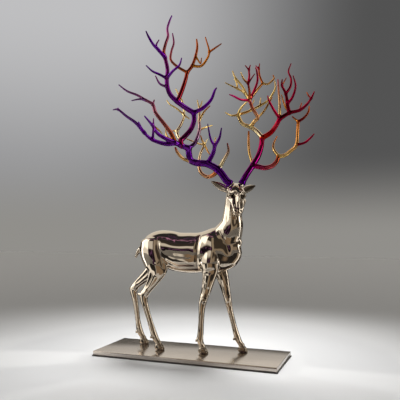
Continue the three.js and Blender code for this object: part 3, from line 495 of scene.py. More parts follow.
def relaxed(points, edges, rounds, share=1.0, let_out=0.52):
    """Evens the skin out where share says: each round draws points together and lets them out again."""
    count = np.bincount(edges.ravel(), minlength=len(points))[:, None]
    for _ in range(rounds):
        for pull in (0.5, -let_out):
            total = np.empty_like(points)
            for axis in range(3):
                total[:, axis] = (
                    np.bincount(edges[:, 0], points[edges[:, 1], axis], len(points))
                    + np.bincount(edges[:, 1], points[edges[:, 0], axis], len(points)))
            points = points + pull * share * (total / count - points)
    return points


def line_reach(points, line):
    """How far each point is from a line of straight stretches, and its share of the way along it."""
    line = np.asarray(line, dtype=float)
    lengths = np.linalg.norm(np.diff(line, axis=0), axis=1)
    nearest = np.full(len(points), np.inf)
    along = np.zeros(len(points))
    passed = 0.0
    for start, end, length in zip(line[:-1], line[1:], lengths):
        step = end - start
        share = np.clip(((points - start) @ step) / (step @ step), 0, 1)
        distance = np.linalg.norm(points - (start + share[:, None] * step), axis=1)
        closer = distance < nearest
        nearest[closer] = distance[closer]
        along[closer] = ((passed + share * length) / lengths.sum())[closer]
        passed += length
    return nearest, along


def soft_line(points, line, width, height):
    """Lift of a soft ridge along a line that fades out at both ends. A minus height is a groove."""
    distance, along = line_reach(points, line)
    ends = np.clip(np.minimum(along, 1 - along) / RELIEF_FADE, 0, 1)
    return height * np.exp(-(distance / width) ** 2) * ends ** 2 * (3 - 2 * ends)


def spanned(mesh, name, values):
    """Stores one value per vertex, a number or a colour, under a name that materials read."""
    kind = "FLOAT" if values.ndim == 1 else "FLOAT_COLOR"
    layer = mesh.attributes.new(name, kind, "POINT")
    layer.data.foreach_set("value" if kind == "FLOAT" else "color", values.astype(np.float32).ravel())


def leg_rows(rows, side):
    return [(along, side * across, *rest) for along, across, *rest in rows]


# Legs: name, rows, side, and how far the point of the hock stands out from its row, along and up.
LEGS = [
    ("near_fore", NEAR_FORELEG, -1, None),
    ("far_fore", FAR_FORELEG, 1, None),
    ("near_hind", NEAR_HIND_LEG, -1, (-4.9, 0.6)),
    ("far_hind", FAR_HIND_LEG, 1, (-3.4, 1)),
]
HOCK_ROW = 7
FETLOCK_ROW = -3

# Point of the hock: share of the way out to it, radius.
HOCK_POINT = [(0, 2.2), (0.6, 1.8), (1, 1.2)]

# Relief on both flanks, in hundredths of the withers height: line seen from the side, width, height.
FLANK_FORMS = [
    ([(-27, 92), (-26, 82), (-23.5, 73), (-20.5, 62)], 1.3, -0.55),
    ([(-34, 96), (-33, 79), (-29, 60)], 6.0, 1.2),
    ([(-25, 78), (-12, 73), (0, 72), (9, 74)], 2.6, 0.45),
    ([(-25, 74), (-10, 67.5), (9, 68)], 1.1, -0.35),
    ([(-22, 84), (-8, 83), (7, 84)], 4.5, 0.45),
    ([(8.5, 97), (7.6, 84), (6.8, 74), (6.2, 62)], 1.5, -1.0),
    ([(16, 100), (20, 82), (17, 62)], 6.0, 1.9),
    ([(23, 100), (29.5, 88), (33, 76)], 2.2, -0.8),
    ([(10, 65), (16, 64), (24, 67)], 1.6, -0.4),
    ([(32, 126), (31, 112), (31, 101)], 1.6, -0.35),
    ([(36, 124), (36.5, 110), (37, 98)], 1.6, -0.35),
]
# Relief on the legs reaches this high, and stays this far from the middle of the body. Depth at which the
# painted shade in a fold on them is darkest, and height at which the painted darker reflection on the feet
# ends, with its fade.
LEG_TOP = 78
LEG_CLEARANCE = 3
DARKEST_FOLD = 0.4
FOOT_TOP = 12
FOOT_FADE = 6

# Relief on the legs: rows that it runs past, how far it is set forward from their middle, width, height.
LEG_FORMS = {
    "fore": [
        ((2, 5), -3.0, 1.0, -0.45), ((3, 5), -1.2, 0.8, -0.35), ((4, 7), 1.9, 0.7, -0.35),
        ((5, 6), 1.2, 1.4, 0.5), ((7, 10), -0.8, 0.6, -0.45), ((11, 12), 0.9, 0.9, 0.3),
        ((2, 4), 1.6, 1.3, 0.5), ((11, 13), -0.9, 0.6, -0.4),
    ],
    "hind": [
        ((3, 6), -2.4, 0.9, -0.5), ((3, 6), -1.0, 0.7, -0.4), ((2, 4), 2.2, 2.0, 0.6),
        ((8, 12), -0.7, 0.6, -0.45), ((6, 7), 0.6, 0.9, 0.35), ((12, 13), 0.6, 0.9, 0.3),
        ((12, 15), -0.9, 0.6, -0.4),
    ],
}


def build_leg(lumps, rows, side, hock_point):
    placed = leg_rows(rows, side)
    add_skin(lumps, placed, STAG_PLACE, ACROSS, sides=48, steps=6)
    fetlock = Vector(placed[FETLOCK_ROW][:3])
    for turn in (-1, 1):
        dewclaw = [
            (fetlock.x + along, fetlock.y + turn * DEWCLAW_SPREAD, fetlock.z + up, radius, radius)
            for along, up, radius in DEWCLAW]
        add_skin(lumps, dewclaw, STAG_PLACE, ACROSS, sides=20)
    if hock_point:
        joint = Vector(placed[HOCK_ROW][:3])
        reach = Vector((hock_point[0], 0, hock_point[1]))
        point = [(*(joint + reach * share), radius, radius) for share, radius in HOCK_POINT]
        add_skin(lumps, point, STAG_PLACE, ACROSS, sides=24)


def build_head(lumps):
    skull = [(0, back, up, deep, half) for back, up, deep, half in SKULL]
    add_skin(lumps, skull, FACE_PLACE, ALONG, sides=60, steps=6)
    for side in (-1, 1):
        ear = [
            (side * across, back, up, deep, half, -side * cup)
            for across, back, up, deep, half, cup in EAR]
        add_skin(lumps, ear, FACE_PLACE, UP, sides=40, steps=6)
    for branches in (LEFT_ANTLER, RIGHT_ANTLER):
        _, _, thick, _, path = branches[0]
        first, second = Vector(path[0]), Vector(path[1])
        out = (second - first).normalized()
        radius = PEDICLE_SHARE_OF_BEAM * ANTLER_HEFT * thick / 2
        seat = first - out * SEAT_GAP * 100
        stub = [(*(first - out * PEDICLE_DEPTH), radius, radius), (*seat, radius, radius)]
        add_skin(lumps, stub, HEAD_PLACE, out.cross(ACROSS), sides=32, round_end=0)


def finer_near(mesh, chosen):
    """Splits the faces that have a chosen vertex into four."""
    piece = bmesh.new()
    piece.from_mesh(mesh)
    piece.verts.ensure_lookup_table()
    faces = {face for index in np.flatnonzero(chosen) for face in piece.verts[index].link_faces}
    edges = list({edge for face in faces for edge in face.edges})
    bmesh.ops.subdivide_edges(piece, edges=edges, cuts=1, use_grid_fill=True, use_single_edge=True)
    piece.to_mesh(mesh)
    piece.free()


# How far round the middle lines of the skull and of the ears the skin gets finer faces.
SKULL_REACH = 8.2
EAR_REACH = 4


def ear_distance(points, side):
    return line_reach(points, [(side * row[0], row[1], row[2]) for row in EAR[1:]])[0]


def head_distance(points):
    """How far points in the face's axes are outside the reach of the skull and the ears."""
    skull = line_reach(points, [(0, back, up) for back, up, _, _ in SKULL])[0]
    ears = np.minimum(*(ear_distance(points, side) for side in (-1, 1)))
    return np.minimum(skull - SKULL_REACH, ears - EAR_REACH)


# Relief on the face, in its own axes, for the right half: line across, back, up; width, height.
FACE_FORMS = [
    ([(4.6, -10.2, -9.4), (6.6, -7, -9)], 2.0, -1.5),
    ([(2.4, -9.8, -6.4), (5.2, -8.8, -5.7), (7.2, -5.6, -6.4)], 1.1, 0.9),
    ([(0, -10.4, -8.6), (0, -12.8, -12), (0, -16.5, -18)], 0.85, 0.6),
    ([(2.7, -10.6, -10.6), (2.7, -13, -15), (2.4, -15.6, -18.6)], 1.1, -0.75),
    ([(6.6, -7.6, -12.6), (5.2, -11, -15.6), (4, -14, -18.6)], 1.3, 0.75),
    ([(6.8, -3.5, -13), (5.6, -7, -17), (4, -10.6, -20.6)], 1.2, -0.5),
    ([(1.5, -17.6, -21.4), (2.6, -16.6, -21)], 0.85, -1.3),
    ([(2.6, -18, -20.2), (3.5, -16.6, -21.4), (2.7, -16.4, -23)], 0.6, 0.5),
    ([(0, -18.2, -22), (0, -18, -24)], 0.5, -0.6),
    ([(0.2, -17.8, -24.2), (2.4, -16.4, -24.3), (3.6, -13.6, -22.6), (4.1, -11, -20.8)], 0.5, -0.75),
    ([(2.8, -8.2, -2.4), (3.2, -8.4, -4.6)], 1.5, -0.5),
]

# The right eye's middle, its radius and its height as a share of its width, and the ridge of the lids.
EYE = (5.5, -8.3, -9.1)
EYE_RADIUS = 1.45
EYE_FLATNESS = 0.9
LID_HEIGHT = 0.4
LID_RADIUS = 2.0
LID_WIDTH = 0.4
LID_SQUEEZE = 1.15

# The painted shade in the cup of an ear: where it ends round the ear's middle line, and how soon it sets in.
# It only shows on skin that faces the front by more than a share. Depth at which the painted shade in a pit
# is darkest.
EAR_CUP_END = 2.24
EAR_CUP_FADE = 1.4
EAR_CUP_FACING = 0.25
DARKEST_PIT = 0.7


def carve_head(points, normals):
    """Lifts and presses the face's features in the skin. Also says how much painted shade each pit and each
    ear's cup gets.
    """
    to_face = np.array(FACE_PLACE.inverted())
    local = points @ to_face[:3, :3].T + to_face[:3, 3]
    facing = -(normals @ to_face[:3, :3].T)[:, 1] / 100
    lift = np.zeros(len(points))
    pits = np.zeros(len(points))
    for line, width, height in FACE_FORMS:
        for side in (-1, 1):
            distance = line_reach(local, [(side * x, y, z) for x, y, z in line])[0]
            lift += height * np.exp(-(distance / width) ** 2)
    for side in (-1, 1):
        eye = np.array((side * EYE[0], EYE[1], EYE[2]))
        distance = np.linalg.norm((local - eye) * (1, 1, LID_SQUEEZE), axis=1)
        lift += LID_HEIGHT * np.exp(-((distance - LID_RADIUS) / LID_WIDTH) ** 2)
        # Painted shade in the cup of each ear.
        cup = np.clip((EAR_CUP_END - ear_distance(local, side)) / EAR_CUP_FADE, 0, 1)
        cup *= facing > EAR_CUP_FACING
        pits = np.maximum(pits, EAR_DARKNESS * cup)
    # Painted shade in each pressed pit, by its depth.
    pits = np.maximum(pits, np.clip(-lift / DARKEST_PIT, 0, 1) ** 1.5)
    return points + normals * lift[:, None] / 100, pits


def form_body(points, normals):
    """Raises the muscles and presses the folds between them. Also says how much painted shade each fold
    gets, and how much painted darker reflection the feet get.
    """
    local = (points - np.array(STAG_PLACE.translation)) * 100
    lift = np.zeros(len(points))
    for side in (-1, 1):
        for line, width, height in FLANK_FORMS:
            facing = np.clip(side * normals[:, 1] * 2, 0, 1) * (side * local[:, 1] > 0)
            lift += soft_line(local[:, [0, 2]], line, width, height) * facing
    # Grooves pressed into the flanks get painted shade by their depth.
    folds = np.clip(-lift, 0, 1) ** 2
    for name, rows, side, _ in LEGS:
        _, kind = name.split("_")
        near_leg = (side * local[:, 1] > LEG_CLEARANCE) & (local[:, 2] < LEG_TOP)
        for (first, last), forward, width, height in LEG_FORMS[kind]:
            line = [(along + forward, up) for along, _, up, _, _ in rows[first:last + 1]]
            ridge = soft_line(local[:, [0, 2]], line, width, height)
            ridge *= near_leg * np.clip(np.abs(normals[:, 1]) * 1.6, 0, 1)
            lift += ridge
            # Grooves on the legs get painted shade by their depth.
            folds = np.maximum(folds, np.clip(-ridge / DARKEST_FOLD, 0, 1) ** 1.5)
    # The feet get a painted darker reflection, strongest at the sole and fading out upwards.
    foot = np.clip((FOOT_TOP - local[:, 2]) / FOOT_FADE, 0, 1)
    folds = np.maximum(folds, FOOT_DARKNESS * foot)
    return points + normals * lift[:, None] / 100, folds


def trunk_share(points):
    """1 on the trunk, and less on the legs and the head, whose forms stay crisper."""
    height = points[:, 2] - BASE_TOP
    above_legs = np.clip((height - LEGS_END) / LEGS_FADE, CRISP_SHARE, 1)
    below_head = np.clip((HEAD_START - height) / HEAD_FADE, CRISP_SHARE, 1)
    return (above_legs * below_head)[:, None]


def build_body(steel):
    lumps = bmesh.new()
    trunk = [(along, 0, (top + bottom) / 2, (top - bottom) / 2, half) for along, top, bottom, half in TRUNK]
    add_skin(lumps, trunk, STAG_PLACE, ACROSS, sides=96, steps=8)
    add_skin(lumps, NECK, STAG_PLACE, ACROSS, sides=72, steps=8)
    add_skin(lumps, TAIL, STAG_PLACE, ACROSS, sides=28, steps=6)
    for _, rows, side, hock_point in LEGS:
        build_leg(lumps, rows, side, hock_point)
    build_head(lumps)
    mesh = fused(lumps, "stag_body", BODY_GRAIN)
    to_face = np.array(FACE_PLACE.inverted())
    points = points_of(mesh)
    finer_near(mesh, head_distance(points @ to_face[:3, :3].T + to_face[:3, 3]) < 0)
    points = points_of(mesh)
    edges = edges_of(mesh)
    share = trunk_share(points)
    points = relaxed(points, edges, rounds=60, share=share)
    points, folds = form_body(points, normals_of(mesh, points))
    points = relaxed(points, edges, rounds=24, share=share)
    points = relaxed(points, edges, rounds=10)
    points, pits = carve_head(points, normals_of(mesh, points))
    points = relaxed(points, edges, rounds=3)
    set_points(mesh, points)
    # Stores the painted shade of the folds and pits, and the painted darker reflection of the feet.
    spanned(mesh, "painted_shade", np.maximum(folds * FOLD_DARKNESS, pits))
    body = new_object("stag_body", mesh, steel)
    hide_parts("deer_body")


def build_eyes(steel):
    for side, name in ((-1, "left_eye"), (1, "right_eye")):
        ball = bmesh.new()
        centre = Vector((side * EYE[0], EYE[1], EYE[2]))
        shape = FACE_PLACE @ Matrix.Translation(centre) @ Matrix.Diagonal((1, 1, EYE_FLATNESS, 1))
        bmesh.ops.create_uvsphere(ball, u_segments=32, v_segments=20, radius=EYE_RADIUS, matrix=shape)
        mesh = mesh_from(ball, name)
        # The eyes are darkened evenly: painted shade.
        spanned(mesh, "painted_shade", np.full(len(mesh.vertices), EYE_DARKNESS))
        new_object(name, mesh, steel)


def build_hoof(name, rows, side, steel):
    placed = leg_rows(rows, side)
    foot_along, foot_across = placed[-1][:2]
    lumps = bmesh.new()
    for turn in (-1, 1):
        claw = [
            (foot_along + along, foot_across + turn * CLAW_SPREAD, up, deep, half)
            for along, up, deep, half in CLAW]
        add_skin(lumps, claw, STAG_PLACE, ACROSS, sides=24)
    sole = BASE_TOP + SEAT_GAP
    everything = lumps.verts[:] + lumps.edges[:] + lumps.faces[:]
    cut = bmesh.ops.bisect_plane(
        lumps, geom=everything, plane_co=(0, 0, sole), plane_no=(0, 0, 1), clear_inner=True)
    rim = [item for item in cut["geom_cut"] if isinstance(item, bmesh.types.BMEdge)]
    bmesh.ops.holes_fill(lumps, edges=rim, sides=0)
    mesh = mesh_from(lumps, "hoof_" + name)
    # The hooves are darkened evenly: a painted darker reflection.
    spanned(mesh, "painted_shade", np.full(len(mesh.vertices), HOOF_DARKNESS))
    new_object("hoof_" + name, mesh, steel)


def antler_paths(branches):
    """Each branch's name with its path from its root, and its radius at both ends."""
    paths = {}
    made = []
    for name, root, thick, thin, points in branches:
        path = ([paths[root[0]][root[1]]] if root else []) + list(points)
        paths[name] = path
        carries = any(other[1] == (name, len(path) - 1) for other in branches)
        made.append((name, path, thick * ANTLER_HEFT / 2, thin * ANTLER_HEFT / 2, carries))
    return made


def chain_of(path, radii):
    """A branch as close-set places in the frame, each with its radius."""
    rows = smooth_rows([(*point, radius) for point, radius in zip(path, radii)], CHAIN_STEPS)
    placed = [(*(HEAD_PLACE @ Vector(row[:3])), row[3] * WITHERS_HEIGHT / 100) for row in rows]
    return np.array(placed)


def drawn_to_branches(points, chains, rounds=3):
    """Moves points onto the rounds of the branches, with soft webs where two branches meet.

    The first chain is the beam and the second its cuff, which count as one branch."""
    starts = np.vstack([chain[:-1, :3] for chain in chains])
    steps = np.vstack([np.diff(chain[:, :3], axis=0) for chain in chains])
    thick = np.concatenate([chain[:-1, 3] for chain in chains])
    taper = np.concatenate([np.diff(chain[:, 3]) for chain in chains])
    branch = np.concatenate([np.full(len(chain) - 1, max(i, 1)) for i, chain in enumerate(chains)])
    finder = KDTree(len(starts))
    for i, middle in enumerate(starts + steps / 2):
        finder.insert(middle, i)
    finder.balance()
    near = np.array([[index for _, index, _ in finder.find_n(point, NEAR_STRETCHES)] for point in points])
    rows = np.arange(len(points))
    for _ in range(rounds):
        gap = points[:, None] - starts[near]
        run = steps[near]
        share = np.clip((gap * run).sum(2) / (run * run).sum(2), 0, 1)
        gap -= share[..., None] * run
        length = np.linalg.norm(gap, axis=2)
        out = length - thick[near] - share * taper[near]
        first = out.argmin(1)
        others = np.where(branch[near] == branch[near[rows, first]][:, None], np.inf, out)
        second = others.argmin(1)
        meet = np.clip(1 - (others[rows, second] - out[rows, first]) / WEB_REACH, 0, 1)
        value = out[rows, first] - meet ** 2 * WEB_REACH / 4
        way = gap / np.maximum(length, TINY)[..., None]
        way = (1 - meet / 2)[:, None] * way[rows, first] + (meet / 2)[:, None] * way[rows, second]
        way /= np.maximum(np.linalg.norm(way, axis=1), TINY)[:, None]
        points = points - value[:, None] * way
    return points, near[rows, first], share[rows, first]


def build_antler(name, branches, plating, grain, material, node):
    lumps = bmesh.new()
    chains = []
    tints = []
    for branch, path, thick, thin, carries in antler_paths(branches):
        last = len(path) - 1
        radii = [thick + (thin - thick) * i / last for i in range(last + 1)]
        if not carries:
            end, before = Vector(path[-1]), Vector(path[-2])
            path = path[:-1] + [tuple(end + (before - end).normalized() * thin * TIP_PULL)]
            radii[-1] = thin * TIP_SHARE
        step = Vector(path[1]) - Vector(path[0])
        wide = step.cross(ALONG if abs(step.y) > BACKWARD else ACROSS).normalized()
        rows = [(*point, radius, radius) for point, radius in zip(path, radii)]
        add_skin(lumps, rows, HEAD_PLACE, wide, sides=20, steps=6, round_start=0, round_end=0.8)
        chains.append(chain_of(path, radii))
        ends = [np.array(colour) for colour in plating.get(branch, (GOLD, GOLD))]
        tints.append(np.linspace(*ends, len(chains[-1]))[:-1])
        if branch == "beam":
            way = step.normalized()
            foot = HEAD_PLACE @ Vector(path[0]), (HEAD_PLACE.to_3x3() @ way).normalized()
            cuff = [(tuple(Vector(path[0]) + way * reach), radii[0] * share) for reach, share in BURR]
            cuff_path, cuff_radii = zip(*cuff)
            rows = [(*point, radius, radius) for point, radius in cuff]
            add_skin(lumps, rows, HEAD_PLACE, wide, sides=32, round_start=0.2, round_end=0.3)
            chains.append(chain_of(cuff_path, cuff_radii))
            tints.append(np.tile(ends[0], (len(chains[-1]) - 1, 1)))
    mesh = fused(lumps, name, grain)
    points = points_of(mesh)
    edges = edges_of(mesh)
    points = relaxed(points, edges, rounds=8)
    drawn, stretch, share = drawn_to_branches(points, chains)
    clear = np.clip((points - foot[0]) @ np.array(foot[1]) / grain - 1, 0, 1)[:, None]
    points = relaxed(points + (drawn - points) * clear, edges, rounds=5)
    set_points(mesh, points)
    colours = np.ones((len(points), 4))
    colours[:, :3] = relaxed(np.vstack(tints)[stretch], edges, rounds=6, let_out=0)
    spanned(mesh, "tint", colours)
    antler = new_object(name, mesh, material)
    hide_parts(node)


def build_plate(name, node, bevel, material):
    low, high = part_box(node)
    box = bmesh.new()
    middle = (low + high) / 2
    bmesh.ops.create_cube(
        box, size=1, matrix=Matrix.Translation(middle) @ Matrix.Diagonal((*(high - low), 1)))
    bmesh.ops.bevel(
        box, geom=box.edges[:], offset=bevel, segments=3, profile=0.5, affect="EDGES", material=-1,
        offset_type="OFFSET", clamp_overlap=True)
    plate = new_object(name, mesh_from(box, name), material)
    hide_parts(node)


class Wire:
    """One shader socket, so that sums of sockets read as sums."""

    def __init__(self, shader, socket):
        self.shader = shader
        self.socket = socket

    def __add__(self, other):
        return self.shader.maths("ADD", self, other)

    def __sub__(self, other):
        return self.shader.maths("SUBTRACT", self, other)

    def __mul__(self, other):
        return self.shader.maths("MULTIPLY", self, other)

    def __rsub__(self, other):
        return self.shader.maths("SUBTRACT", other, self)

    __radd__ = __add__
    __rmul__ = __mul__


class Shader:
    """The node tree of a material or of the world. Colours given as three numbers get their fourth."""

    def __init__(self, tree):
        self.tree = tree

    def node(self, kind, settings, output=0, **inputs):
        """Adds a node. An input goes by its name, with _ for a space, or by its number, such as _0."""
        made = self.tree.nodes.new(kind)
        for name, value in settings.items():
            setattr(made, name, value)
        for name, value in inputs.items():
            self.join(made, int(name[1:]) if name[1:].isdigit() else name.replace("_", " "), value)
        return Wire(self, made.outputs[output])

    def join(self, node, socket, value):
        if isinstance(value, Wire):
            self.tree.links.new(value.socket, node.inputs[socket])
        else:
            wanted = node.inputs[socket]
            wanted.default_value = (*value, 1) if wanted.type == "RGBA" else value

    def maths(self, operation, first, second):
        return self.node("ShaderNodeMath", {"operation": operation}, _0=first, _1=second)

    def place(self):
        """Object coordinates."""
        return self.node("ShaderNodeTexCoord", {}, output=3)

    def noise(self, vector, **inputs):
        return self.node("ShaderNodeTexNoise", {}, Vector=vector, **inputs)

    def blend(self, share, first, second):
        settings = {"data_type": "RGBA", "clamp_factor": True}
        return self.node("ShaderNodeMix", settings, output=2, _0=share, _6=first, _7=second)

    def along(self, vector, way):
        """How far a vector reaches along a way."""
        settings = {"operation": "DOT_PRODUCT"}
        return self.node("ShaderNodeVectorMath", settings, output=1, _0=vector, _1=tuple(way))

    def turn_of(self, vector):
        """Where a vector points, level, from the camera: 0 towards it and positive to its right."""
        return self.maths("ARCTAN2", self.along(vector, VIEW_RIGHT), self.along(vector, VIEW_AHEAD) * -1.0)

    def band(self, value, low, high, soft):
        """1 between low and high, with soft edges."""
        return self.ramp(value, low - soft, low + soft) * self.ramp(value, high + soft, high - soft)

    def ramp(self, value, low, high):
        """0 below low, 1 above high and smooth between them."""
        return self.node(
            "ShaderNodeMapRange", {"interpolation_type": "SMOOTHSTEP"},
            Value=value, From_Min=low, From_Max=high, To_Min=0.0, To_Max=1.0)


def paint(name, colour, roughness):
    """A material, its shader and its surface, ready for what varies over it."""
    made = bpy.data.materials.new(name)
    made.use_nodes = True
    surface = made.node_tree.nodes["Principled BSDF"]
    surface.inputs["Base Color"].default_value = (*colour, 1)
    surface.inputs["Roughness"].default_value = roughness
    return made, Shader(made.node_tree), surface


def metal(name, colour, roughness):
    made, shader, surface = paint(name, colour, roughness)
    surface.inputs["Metallic"].default_value = 1.0
    return made, shader, surface


def mirror_steel():
    made, shader, surface = metal("mirror_polished_steel", STEEL, 0.03)
    place = shader.place()
    # Painted shade: the steel is darkened towards a dark brown by a per-vertex amount, in folds, pits, ear
    # cups and eyes, and as a painted darker reflection on the hooves and feet.
    painted_shade = shader.node("ShaderNodeAttribute", {"attribute_name": "painted_shade"}, output=2)
    shader.join(surface, "Base Color", shader.blend(painted_shade, STEEL, PAINTED_SHADE_TONE))
    wander = shader.noise(place, Scale=7.0, Detail=1.0, Roughness=0.4)
    hammer = shader.node("ShaderNodeBump", {}, Height=wander, Strength=0.35, Distance=0.008)
    shader.join(surface, "Normal", hammer)
    smears = shader.noise(place, Scale=14.0, Detail=4.0)
    shader.join(surface, "Roughness", shader.ramp(smears, 0.45, 0.8) * 0.04 + 0.02)
    return made


def plating(name):
    made, shader, surface = metal(name, VIOLET, 0.08)
    surface.inputs["Specular Tint"].default_value = (0.75, 0.65, 0.70, 1)
    tint = shader.node("ShaderNodeAttribute", {"attribute_name": "tint"})
    clouds = shader.noise(shader.place(), Scale=11.0, Detail=3.0)
    deep = shader.node("ShaderNodeHueSaturation", {}, Color=tint, Hue=0.5, Saturation=1.05, Value=0.72)
    shader.join(surface, "Base Color", shader.blend(shader.ramp(clouds, 0.42, 0.62), deep, tint))
    shader.join(surface, "Roughness", shader.ramp(clouds, 0.4, 0.8) * 0.05 + 0.045)
    return made


def satin_steel():
    made, shader, surface = metal("base_satin_steel", SATIN, 0.22)
    place = shader.place()
    clouds = shader.noise(place, Scale=3.0, Detail=4.0)
    drawn_out = shader.node("ShaderNodeMapping", {}, Vector=place, Scale=(0.9, 60.0, 60.0))
    strokes = shader.noise(drawn_out, Scale=3.0, Detail=3.0)
    wear = 0.6 * shader.ramp(clouds, 0.35, 0.75) + 0.4 * shader.ramp(strokes, 0.35, 0.7)
    shader.join(surface, "Base Color", shader.blend(wear, SATIN, WORN_SATIN))
    shader.join(surface, "Roughness", wear * 0.1 + 0.17)
    return made


def dark_satin():
    made, shader, surface = metal("under_plate_dark_satin", UNDER_DARK_TONE, 0.45)
    surface.inputs["Metallic"].default_value = 0.4
    clouds = shader.noise(shader.place(), Scale=9.0, Detail=5.0)
    wear = shader.ramp(clouds, 0.4, 0.7)
    shader.join(surface, "Base Color", shader.blend(wear, UNDER_DARK_TONE, UNDER_WORN_TONE))
    shader.join(surface, "Roughness", 0.52 - wear * 0.12)
    return made


def build_floor():
    sheet = bmesh.new()
    bmesh.ops.create_grid(sheet, x_segments=1, y_segments=1, size=FLOOR_REACH)
    floor = bpy.data.objects.new("floor", mesh_from(sheet, "floor"))
    bpy.context.scene.collection.objects.link(floor)
    made, _, surface = paint("floor_paint", (0.62, 0.62, 0.62), 0.55)
    surface.inputs["Specular IOR Level"].default_value = 0.15
    floor.data.materials.append(made)


def build_cards():
    """Dark and pale cards round the plate, seen only in the metal: they draw the legs' stripes."""
    ring = bmesh.new()
    lifted = Matrix.Translation((0, 0, MAT_HEIGHT))
    verts = bmesh.ops.create_circle(ring, segments=96, radius=CARD_RADIUS, matrix=lifted)["verts"]
    edges = list({edge for vert in verts for edge in vert.link_edges})

    def drawn_out():
        made = bmesh.ops.extrude_edge_only(ring, edges=edges)["geom"]
        return [item for item in made if isinstance(item, bmesh.types.BMVert)]

    for vert in drawn_out():
        vert.co.xy *= MAT_INNER_RADIUS / CARD_RADIUS
    for vert in drawn_out():
        behind = min(max(vert.co.dot(VIEW_AHEAD) / CARD_RADIUS + 0.5, 0), 1)
        vert.co.z += CARD_HEIGHT_IN_FRONT + (CARD_HEIGHT_BEHIND - CARD_HEIGHT_IN_FRONT) * behind
    cards = bpy.data.objects.new("cards", mesh_from(ring, "cards"))
    bpy.context.scene.collection.objects.link(cards)
    made, shader, surface = paint("cards_paint", (0, 0, 0), 1.0)
    turn = shader.turn_of(shader.place())
    glow = DARK_CARD
    for low, high, colour in CARDS:
        card = shader.band(turn, math.radians(low), math.radians(high), CARD_EDGE)
        glow = shader.blend(card, glow, colour)
    shader.join(surface, "Emission Color", glow)
    surface.inputs["Emission Strength"].default_value = 1.0
    cards.data.materials.append(made)
    cards.visible_camera = cards.visible_diffuse = cards.visible_shadow = False


def mirrored_room(shader, look, turn, rise):
    """A dim warm room with pale panels round the camera, and a bright wall behind the stag."""
    mottle = shader.noise(look, Scale=9.0, Detail=2.0)

    def rising(low, high):
        return shader.ramp(rise, math.radians(low), math.radians(high))

    def panel(turns, rises, soft):
        turned = shader.band(turn, *(math.radians(angle) for angle in (*turns, soft)))
        return turned * shader.band(rise, *(math.radians(angle) for angle in (*rises, soft)))

    room = shader.blend(rising(25, 50), (0.06, 0.048, 0.037), CEILING)
    for turns, rises, soft, colour in PANELS:
        room = shader.blend(panel(turns, rises, soft), room, colour)
    stain = shader.blend(shader.ramp(mottle, 0.5, 0.62), (0.010, 0.007, 0.010), (0.13, 0.06, 0.14))
    room = shader.blend(panel((-58, -16), (-10, 10), 2), room, stain)
    blush = panel((-110, -8), (46, 58), 3) * shader.ramp(mottle, 0.48, 0.60)
    room = shader.blend(blush, room, (0.60, 0.28, 0.50))
    wall = shader.blend(rising(12, 30), (0.60, 0.57, 0.52), (0.98, 0.94, 0.86))
    wall = shader.blend(rising(3, 9), (0.035, 0.03, 0.026), wall)
    wall = shader.blend(rising(66, 76), wall, CEILING)
    behind = shader.ramp(shader.maths("ABSOLUTE", turn, 0.0), math.radians(108), math.radians(124))
    return shader.blend(behind, room, wall)


def backdrop(shader, aside, rise):
    """What the camera sees behind the stag: light grey at its upper left, and the floor's tone low down."""
    low = shader.blend(shader.ramp(aside, -0.3, 0.25), (0.27, 0.27, 0.275), (0.09, 0.09, 0.09))
    low = shader.blend(shader.ramp(rise, -0.02, 0.14), (0.283, 0.275, 0.257), low)
    high = shader.blend(shader.ramp(aside, -0.15, 0.3), (0.52, 0.52, 0.53), (0.085, 0.085, 0.085))
    return shader.blend(shader.ramp(rise, 0.0, 0.4), low, high)


def build_world():
    world = bpy.data.worlds.new("studio")
    bpy.context.scene.world = world
    world.use_nodes = True
    shader = Shader(world.node_tree)
    look = shader.node("ShaderNodeTexCoord", {}, output=0)
    turn = shader.turn_of(look)
    rise = shader.maths("ARCSINE", shader.along(look, UP), 0.0)
    is_camera = shader.node("ShaderNodeLightPath", {}, output=0)
    is_diffuse = shader.node("ShaderNodeLightPath", {}, output=2)
    lit = shader.blend(is_diffuse, mirrored_room(shader, look, turn, rise), (0.08, 0.08, 0.082))
    seen = backdrop(shader, shader.along(look, VIEW_RIGHT), rise)
    shader.join(world.node_tree.nodes["Background"], "Color", shader.blend(is_camera, lit, seen))


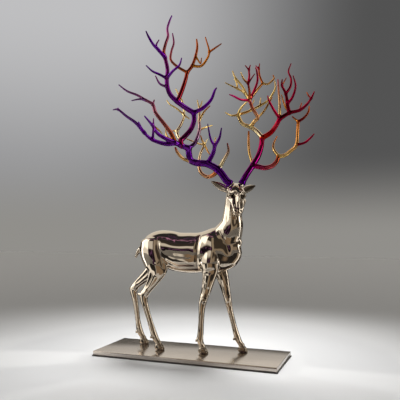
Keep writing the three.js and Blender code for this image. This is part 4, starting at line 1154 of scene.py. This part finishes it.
def add_softbox(name, size, place, aim, power, spread, mirrored=True):
    lamp = bpy.data.lights.new(name, "AREA")
    lamp.shape = "RECTANGLE"
    lamp.size, lamp.size_y = size
    lamp.energy = power
    lamp.spread = math.radians(spread)
    holder = bpy.data.objects.new(name, lamp)
    holder.location = place
    holder.rotation_euler = (Vector(aim) - Vector(place)).to_track_quat("-Z", "Y").to_euler()
    holder.visible_camera = False
    holder.visible_glossy = mirrored
    bpy.context.scene.collection.objects.link(holder)


def build_lights():
    middle = (0, 0, 1.0)
    add_softbox("overhead_softbox", (2.4, 1.5), (0.1, 1.9, 4.2), (0, 0, 0), 52, 68, False)
    add_softbox("front_floor_softbox", (2.6, 0.8), (0.4, -4.6, 3.2), (0.3, -2.6, 0), 17, 75, False)
    add_softbox("left_strip", (0.22, 2.4), (-2.26, -0.41, 1.22), middle, 3, spread=120)
    add_softbox("right_strip", (0.16, 2.4), (2.29, 0.21, 1.22), middle, 2.2, spread=120)


def build_camera():
    lens = bpy.data.cameras.new("camera")
    lens.sensor_width = SENSOR_MM
    lens.lens = LENS_MM
    camera = bpy.data.objects.new("camera", lens)
    camera.location = CAMERA_PLACE
    camera.rotation_euler = (CAMERA_TILT, 0, VIEW_TURN)
    bpy.context.scene.collection.objects.link(camera)
    bpy.context.scene.camera = camera
    bpy.context.scene.view_settings.view_transform = "Standard"


polished = mirror_steel()
build_body(polished)
build_eyes(polished)
for leg_name, leg_table, leg_side, _ in LEGS:
    build_hoof(leg_name, leg_table, leg_side, polished)
build_antler(
    "left_antler", LEFT_ANTLER, LEFT_PLATING, LEFT_ANTLER_GRAIN, plating("violet_plating"),
    "antler_left")
build_antler(
    "right_antler", RIGHT_ANTLER, RIGHT_PLATING, RIGHT_ANTLER_GRAIN, plating("crimson_plating"),
    "antler_right")
build_plate("base", "base_plate", BASE_EDGE_BEVEL, satin_steel())
build_plate("under_base", "under_plate", UNDER_EDGE_BEVEL, dark_satin())
build_floor()
build_cards()
build_world()
build_lights()
build_camera()

bpy.context.view_layer.update()
